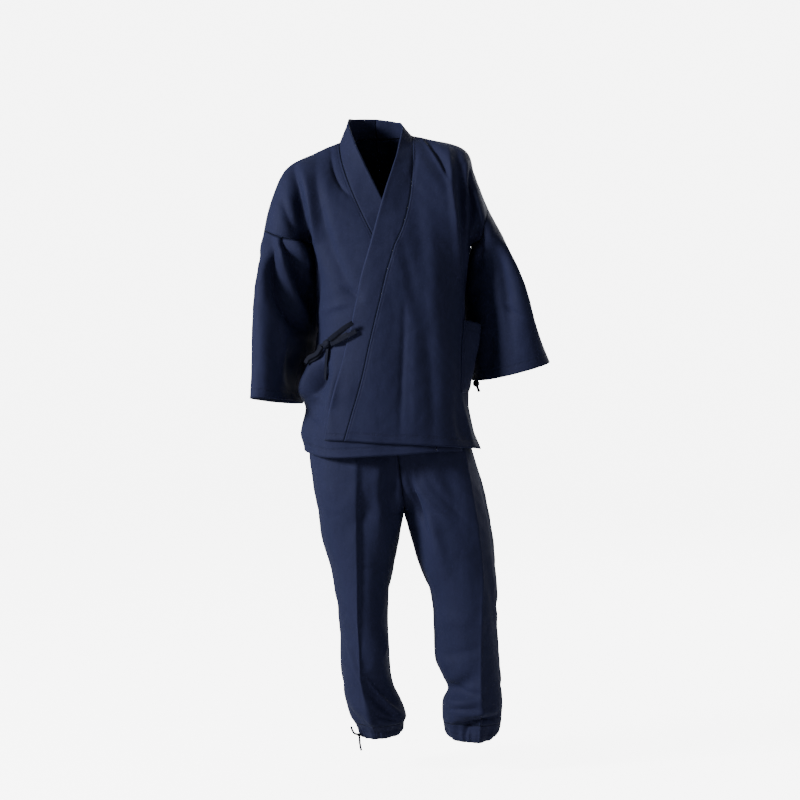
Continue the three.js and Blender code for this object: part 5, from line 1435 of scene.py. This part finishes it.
def turn_matrix(tilt, facing):
    """A turn about Y by the tilt and then about Z by the facing, in degrees."""
    a, b = math.radians(-tilt), math.radians(-facing)
    about_y = np.array([[math.cos(a), 0, math.sin(a)], [0, 1, 0], [-math.sin(a), 0, math.cos(a)]])
    about_z = np.array([[math.cos(b), -math.sin(b), 0], [math.sin(b), math.cos(b), 0], [0, 0, 1]])
    return about_z @ about_y


# Settings, operators and panel

class SamueCloth(bpy.types.PropertyGroup):
    """Colours, walls and folds of the cloth."""

    cotton_colour: bpy.props.FloatVectorProperty(
        name="Cotton", description="Colour of the body cloth", subtype="COLOR", size=3,
        default=(0.0081, 0.0102, 0.0320), min=0, max=1)
    band_colour: bpy.props.FloatVectorProperty(
        name="Bands", description="Colour of the collar, casings and waistband", subtype="COLOR", size=3,
        default=(0.0079, 0.0099, 0.0309), min=0, max=1)
    tape_colour: bpy.props.FloatVectorProperty(
        name="Tapes", description="Colour of the ties and the bow", subtype="COLOR", size=3,
        default=(0.0034, 0.0043, 0.0115), min=0, max=1)
    cord_colour: bpy.props.FloatVectorProperty(
        name="Cords", description="Colour of the hem and cuff cords", subtype="COLOR", size=3,
        default=(0.0040, 0.0050, 0.0100), min=0, max=1)
    roughness: bpy.props.FloatProperty(
        name="Roughness", description="Roughness of the cotton", default=0.78, min=0, max=1, subtype="FACTOR")
    sheen: bpy.props.FloatProperty(
        name="Sheen", description="Soft light on the fuzz of the cotton", default=0.015, min=0, max=1,
        subtype="FACTOR")
    cotton_wall: bpy.props.FloatProperty(
        name="Cotton wall", description="Thickness of the body cloth", default=0.0012, min=0.0003, max=0.003,
        unit="LENGTH")
    band_wall: bpy.props.FloatProperty(
        name="Band wall", description="Thickness of the folded bands", default=0.0024, min=0.0005, max=0.004,
        unit="LENGTH")
    broad_folds: bpy.props.FloatProperty(
        name="Broad folds", description="Strength of the main folds", default=1.25, min=0, max=2)
    fine_folds: bpy.props.FloatProperty(
        name="Fine folds", description="Strength of the smaller folds", default=1.5, min=0, max=3)
    gather_depth: bpy.props.FloatProperty(
        name="Gathers", description="Depth of the fine gathers", default=0.0011, min=0, max=0.004,
        unit="LENGTH")
    crease_bump: bpy.props.FloatProperty(
        name="Small creases", description="Strength of the creases in the finish", default=1.0, min=0, max=3)


class SamueTrim(bpy.types.PropertyGroup):
    """Sizes of the tapes and cords."""

    tape_width: bpy.props.FloatProperty(
        name="Tape width", description="Width of the ties", default=0.010, min=0.005, max=0.02, unit="LENGTH")
    tape_thickness: bpy.props.FloatProperty(
        name="Tape thickness", description="Thickness of the ties", default=0.002, min=0.001, max=0.004,
        unit="LENGTH")
    cord_diameter: bpy.props.FloatProperty(
        name="Cord diameter", description="Diameter of the hem cords", default=0.005, min=0.002, max=0.006,
        unit="LENGTH")


class SamueStage(bpy.types.PropertyGroup):
    """Floor, light and camera."""

    floor_height: bpy.props.FloatProperty(
        name="Floor", description="Height of the floor", default=-1.45, unit="LENGTH")
    surround: bpy.props.FloatProperty(
        name="Surround", description="Strength of the pale sky", default=0.07, min=0, max=3)
    floor_glow: bpy.props.FloatProperty(
        name="Floor glow", description="How much brighter the floor and the wall look than they are lit",
        default=6.5, min=0, max=10)
    key_power: bpy.props.FloatProperty(
        name="Key light", description="Power of the large light at the front left", default=520, min=0,
        unit="POWER")
    side_power: bpy.props.FloatProperty(
        name="Side lights", description="Power of the weaker lights at the right and above", default=22,
        min=0, unit="POWER")
    back_power: bpy.props.FloatProperty(
        name="Back light", description="Power of the soft light behind", default=140, min=0, unit="POWER")
    lens: bpy.props.FloatProperty(
        name="Lens", description="Focal length of the camera", default=97.83, min=20, max=200, unit="CAMERA")


class PieceOperator:
    """What the operators share: each builds its own pieces."""

    bl_options = {"REGISTER", "UNDO"}

    def execute(self, context):
        self.build(context)
        return {"FINISHED"}


CAMERA_PLACE = (0.0552, -5.0, -0.35)
CAMERA_AIM = (0.0552, 0.0, -0.591)
LIGHT_AIM = (0.05, 0.0, -0.6)
# Each light's place, its size and the setting that holds its power.
LIGHTS = {
    "Key": ((-3.9, -2.1, 1.2), 1.1, "key_power"), "Side": ((3.0, -1.6, 0.6), 1.8, "side_power"),
    "Top": ((0.2, 0.6, 2.6), 2.6, "side_power"), "Back": ((2.4, 3.6, 1.4), 2.0, "back_power"),
}
# The floor: the radii of the flat part's rings, of the whole flat part and of the bend up to the wall,
# the wall's height, and the number of points along the bend and round the floor.
FLOOR_INNER = (0.0, 3.0)
FLOOR_REACH = 7.0
FLOOR_BEND = 2.0
WALL_HEIGHT = 6.0
FLOOR_RING = (16, 64)
FLOOR_SHADE = 0.62


class SAMUE_OT_stage(PieceOperator, bpy.types.Operator):
    """Adds the pale floor, the soft lights and the camera"""

    bl_idname = "samue.stage"
    bl_label = "Stage"

    def build(self, context):
        stage = context.scene.samue_stage
        camera = bpy.data.cameras.new("Camera")
        camera.lens = stage.lens
        camera.sensor_width = 36
        camera.clip_end = 60
        view = linked("Camera", camera)
        point_at(view, CAMERA_PLACE, CAMERA_AIM)
        context.scene.camera = view
        self.add_floor(stage)
        for name, (where, size, power) in LIGHTS.items():
            light = bpy.data.lights.new(name, "AREA")
            light.shape = "SQUARE"
            light.size = size
            light.energy = getattr(stage, power)
            point_at(linked(name, light), where, LIGHT_AIM)
        world = bpy.data.worlds.new("Surround")
        world.use_nodes = True
        back = world.node_tree.nodes["Background"]
        back.inputs["Color"].default_value = (1.0, 1.0, 1.0, 1)
        back.inputs["Strength"].default_value = stage.surround
        context.scene.world = world

    def add_floor(self, stage):
        """A profile turned round the middle of the floor: a flat disc that bends up through a quarter
        circle into a round wall, so that the floor has no edge from any side."""
        along, around = FLOOR_RING
        bend = np.linspace(0, math.pi / 2, along)
        out = np.concatenate([
            FLOOR_INNER, FLOOR_REACH + FLOOR_BEND * np.sin(bend), [FLOOR_REACH + FLOOR_BEND]])
        rise = np.concatenate([[0.0, 0.0], FLOOR_BEND - FLOOR_BEND * np.cos(bend), [WALL_HEIGHT]])
        turn = 2 * math.pi * shares(around)[:, None]
        points = stacked(out * np.cos(turn), out * np.sin(turn), rise + stage.floor_height)
        quads = Patch(points, (0, 0)).faces()[:, ::-1]
        mesh = bpy.data.meshes.new("Floor")
        mesh.from_pydata(points.reshape(-1, 3).tolist(), [], quads.tolist())
        mesh.polygons.foreach_set("use_smooth", np.ones(len(mesh.polygons), bool))
        mesh.materials.append(self.pale(stage.floor_glow))
        floor = linked("Floor", mesh)

    def pale(self, strength):
        """A pale matt surface that looks brighter than it is lit, without lighting the cloth."""
        pale = bpy.data.materials.new("Pale_floor")
        pale.use_nodes = True
        tree = pale.node_tree
        shader = set_shader(tree, {
            "Base Color": (FLOOR_SHADE, FLOOR_SHADE, FLOOR_SHADE, 1), "Roughness": 0.9,
            "Specular IOR Level": 0.1, "Emission Color": (1.0, 1.0, 1.0, 1)})
        path, glow = tree.nodes.new("ShaderNodeLightPath"), tree.nodes.new("ShaderNodeMath")
        glow.operation = "MULTIPLY"
        glow.inputs[1].default_value = strength
        tree.links.new(path.outputs["Is Camera Ray"], glow.inputs[0])
        tree.links.new(glow.outputs[0], shader.inputs["Emission Strength"])
        return pale


def point_at(thing, place, aim):
    """Puts a camera or light at a place and turns its -Z axis to the aim."""
    back = unit(np.subtract(place, aim))
    right = unit(np.cross([0.0, 0.0, 1.0], back))
    up = np.cross(back, right)
    matrix = np.eye(4)
    matrix[:3, :3] = np.stack([right, up, back], 1)
    matrix[:3, 3] = place
    thing.matrix_world = Matrix(matrix.tolist())


class SAMUE_OT_hem_cords(PieceOperator, bpy.types.Operator):
    """Adds the knots and the free cord ends at both trouser hems"""

    bl_idname = "samue.hem_cords"
    bl_label = "Hem cords"

    def build(self, context):
        diameter = context.scene.samue_trim.cord_diameter
        for side, centre in HEM_KNOTS.items():
            rings = knot_rings(centre, HEM_KNOT_SIZE, HEM_KNOT_GROOVE)
            tube_piece(f"hem_knot_{side}_tied", rings, f"hem_knot_{side}", "navy_cord")
        for name, points in HEM_CORDS.items():
            path = through(points, PATH_POINTS["cord"])
            cord = tube_piece(name + "_twisted", cord_rings(path, diameter / MM), name, "navy_cord")


# A cuff's knot in millimetres: the ball's radius across and along, how far the rings above its middle
# reach, from which angle they start, and the first ring below. As parts of the radius: the cord, what
# its cut end adds and the ball's depth. The end flares from a part of the whole length on.
BALL_RADIUS = 8.0
BALL_SPAN = 8.2
BALL_REACH = 7.6
BALL_START = 0.12
BELOW_START = 0.6
CORD_SHARE = 0.38
END_FLARE = 0.06
FLARE_FROM = 0.7
BALL_DEPTH = 0.88
# The grooves between the knot's turns, and where they fade as the ball narrows.
BALL_GROOVE = {"turns": 1.5, "slope": 0.42, "width": 0.3, "depth": 0.2}
BALL_GROOVE_FADE = (0.1, 0.5)
BALL_ROWS = (16, 26)
BALL_RING = 32
BALL_SIDE = (0.3, 1.0, 0.1)


class SAMUE_OT_cuff_knots(PieceOperator, bpy.types.Operator):
    """Adds the short knotted cord end at each cuff"""

    bl_idname = "samue.cuff_knots"
    bl_label = "Cuff knots"

    def build(self, context):
        for name, (centre, tail) in CUFF_KNOTS.items():
            moved = jacket().carried(np.array(centre, float))
            rings = self.drop(moved, tail + moved - centre)
            tube_piece(name + "_tied", rings, name, "navy_cord")

    def drop(self, centre, tail):
        """A profile carried from above the knot to the end of its tail: the radius follows a ball at
        the knot, narrows to the cord and flares a little at the cut end. Slanted grooves mark the
        turns of the knot."""
        along = unit(tail - centre)
        length = np.linalg.norm(tail - centre)
        above, below = BALL_ROWS
        s = np.concatenate([-BALL_REACH * np.cos(np.linspace(BALL_START, np.pi / 2, above)),
                            np.linspace(BELOW_START, length, below)])
        ball = np.sqrt(np.clip(1 - (s / BALL_SPAN) ** 2, 0, 1))
        cord = CORD_SHARE + END_FLARE * step(FLARE_FROM, 1, s / length)
        radius = BALL_RADIUS * np.maximum(ball, cord * (s > 0))
        turn = turns(BALL_RING)
        groove = np.abs(np.sin(BALL_GROOVE["turns"] * turn + BALL_GROOVE["slope"] * s[:, None]))
        cut = BALL_GROOVE["depth"] * np.exp(-(groove / BALL_GROOVE["width"]) ** 2)
        depth = 1 - cut * step(*BALL_GROOVE_FADE, ball)[:, None]
        wide = unit(np.cross(along, BALL_SIDE))
        ring = wide * np.cos(turn)[:, None] + BALL_DEPTH * np.cross(along, wide) * np.sin(turn)[:, None]
        return centre + along * s[:, None, None] + ring[None] * (radius[:, None] * depth)[..., None]


class SAMUE_OT_bow(PieceOperator, bpy.types.Operator):
    """Adds the two ties and the bow that they make"""

    bl_idname = "samue.bow"
    bl_label = "Ties and bow"

    def build(self, context):
        trim = context.scene.samue_trim
        width, thickness = trim.tape_width / MM, trim.tape_thickness / MM
        for name in TAPES:
            path, wide = tape_path(name)
            piece = tube_piece(name + "_sewn", tape_rings(path, wide, width, thickness), name, "navy_tape")
        point, normal = cloth_over("right", np.array([BOW["x"]], float), np.array([BOW["z"]], float))
        centre = point[0] + normal[0] * BOW["lift"]
        rings = knot_rings(centre, BOW["size"], BOW["groove"], turn_matrix(BOW["tilt"], BOW["facing"]))
        tube_piece("bow_knot_tied", rings, "bow_knot", "navy_tape")


class SAMUE_OT_jacket(PieceOperator, bpy.types.Operator):
    """Adds the jacket's two bodies, its collar halves and its sleeves"""

    bl_idname = "samue.jacket"
    bl_label = "Jacket"

    def build(self, context):
        cloth = context.scene.samue_cloth
        for side in ("right", "left"):
            cloth_piece(jacket(), f"body_{side}", "navy_cotton", cloth.cotton_wall)
            cloth_piece(jacket(), f"sleeve_{side}", "navy_cotton", cloth.cotton_wall)
            cloth_piece(jacket(), f"collar_{side}", "navy_band", cloth.band_wall)


class SAMUE_OT_pocket(PieceOperator, bpy.types.Operator):
    """Adds the patch pocket with its open mouth"""

    bl_idname = "samue.pocket"
    bl_label = "Pocket"

    def build(self, context):
        wall = context.scene.samue_cloth.cotton_wall
        cloth_piece(pocket_garment(wall), "pocket", "navy_cotton", wall)


class SAMUE_OT_trousers(PieceOperator, bpy.types.Operator):
    """Adds the four trouser panels with their pressed creases"""

    bl_idname = "samue.trousers"
    bl_label = "Trousers"

    def build(self, context):
        for name in trousers().pieces:
            cloth_piece(trousers(), name, "navy_cotton", context.scene.samue_cloth.cotton_wall)


class SAMUE_OT_casings(PieceOperator, bpy.types.Operator):
    """Adds the gathered hem casings and the waistband"""

    bl_idname = "samue.casings"
    bl_label = "Hem casings and waistband"

    def build(self, context):
        cloth = context.scene.samue_cloth
        for side in ("right", "left"):
            cloth_piece(casing_garment(side, cloth), f"hem_casing_{side}", "navy_band", cloth.band_wall)
        cloth_piece(waistband_garment(cloth), "waistband", "navy_band", cloth.band_wall)


OPERATORS = (
    SAMUE_OT_stage, SAMUE_OT_hem_cords, SAMUE_OT_cuff_knots, SAMUE_OT_bow, SAMUE_OT_jacket,
    SAMUE_OT_pocket, SAMUE_OT_trousers, SAMUE_OT_casings,
)


class SAMUE_PT_pieces(bpy.types.Panel):
    """Lists the samue's pieces and settings"""

    bl_label = "Samue"
    bl_idname = "SAMUE_PT_pieces"
    bl_space_type = "VIEW_3D"
    bl_region_type = "UI"
    bl_category = "Samue"

    def draw(self, context):
        layout = self.layout
        for settings in (context.scene.samue_cloth, context.scene.samue_trim, context.scene.samue_stage):
            box = layout.box()
            for name in settings.__annotations__:
                box.prop(settings, name)
        for operator in OPERATORS:
            layout.operator(operator.bl_idname)


CLASSES = (SamueCloth, SamueTrim, SamueStage, *OPERATORS, SAMUE_PT_pieces)


def register():
    """Registers the settings, the operators and the panel."""
    for cls in CLASSES:
        bpy.utils.register_class(cls)
    bpy.types.Scene.samue_cloth = bpy.props.PointerProperty(type=SamueCloth)
    bpy.types.Scene.samue_trim = bpy.props.PointerProperty(type=SamueTrim)
    bpy.types.Scene.samue_stage = bpy.props.PointerProperty(type=SamueStage)


def unregister():
    """Removes all that register adds."""
    for name in ("samue_stage", "samue_trim", "samue_cloth"):
        delattr(bpy.types.Scene, name)
    for cls in reversed(CLASSES):
        bpy.utils.unregister_class(cls)


def main():
    """Builds every piece."""
    register()
    for operator in OPERATORS:
        group, name = operator.bl_idname.split(".")
        getattr(getattr(bpy.ops, group), name)()


if __name__ == "__main__":
    main()
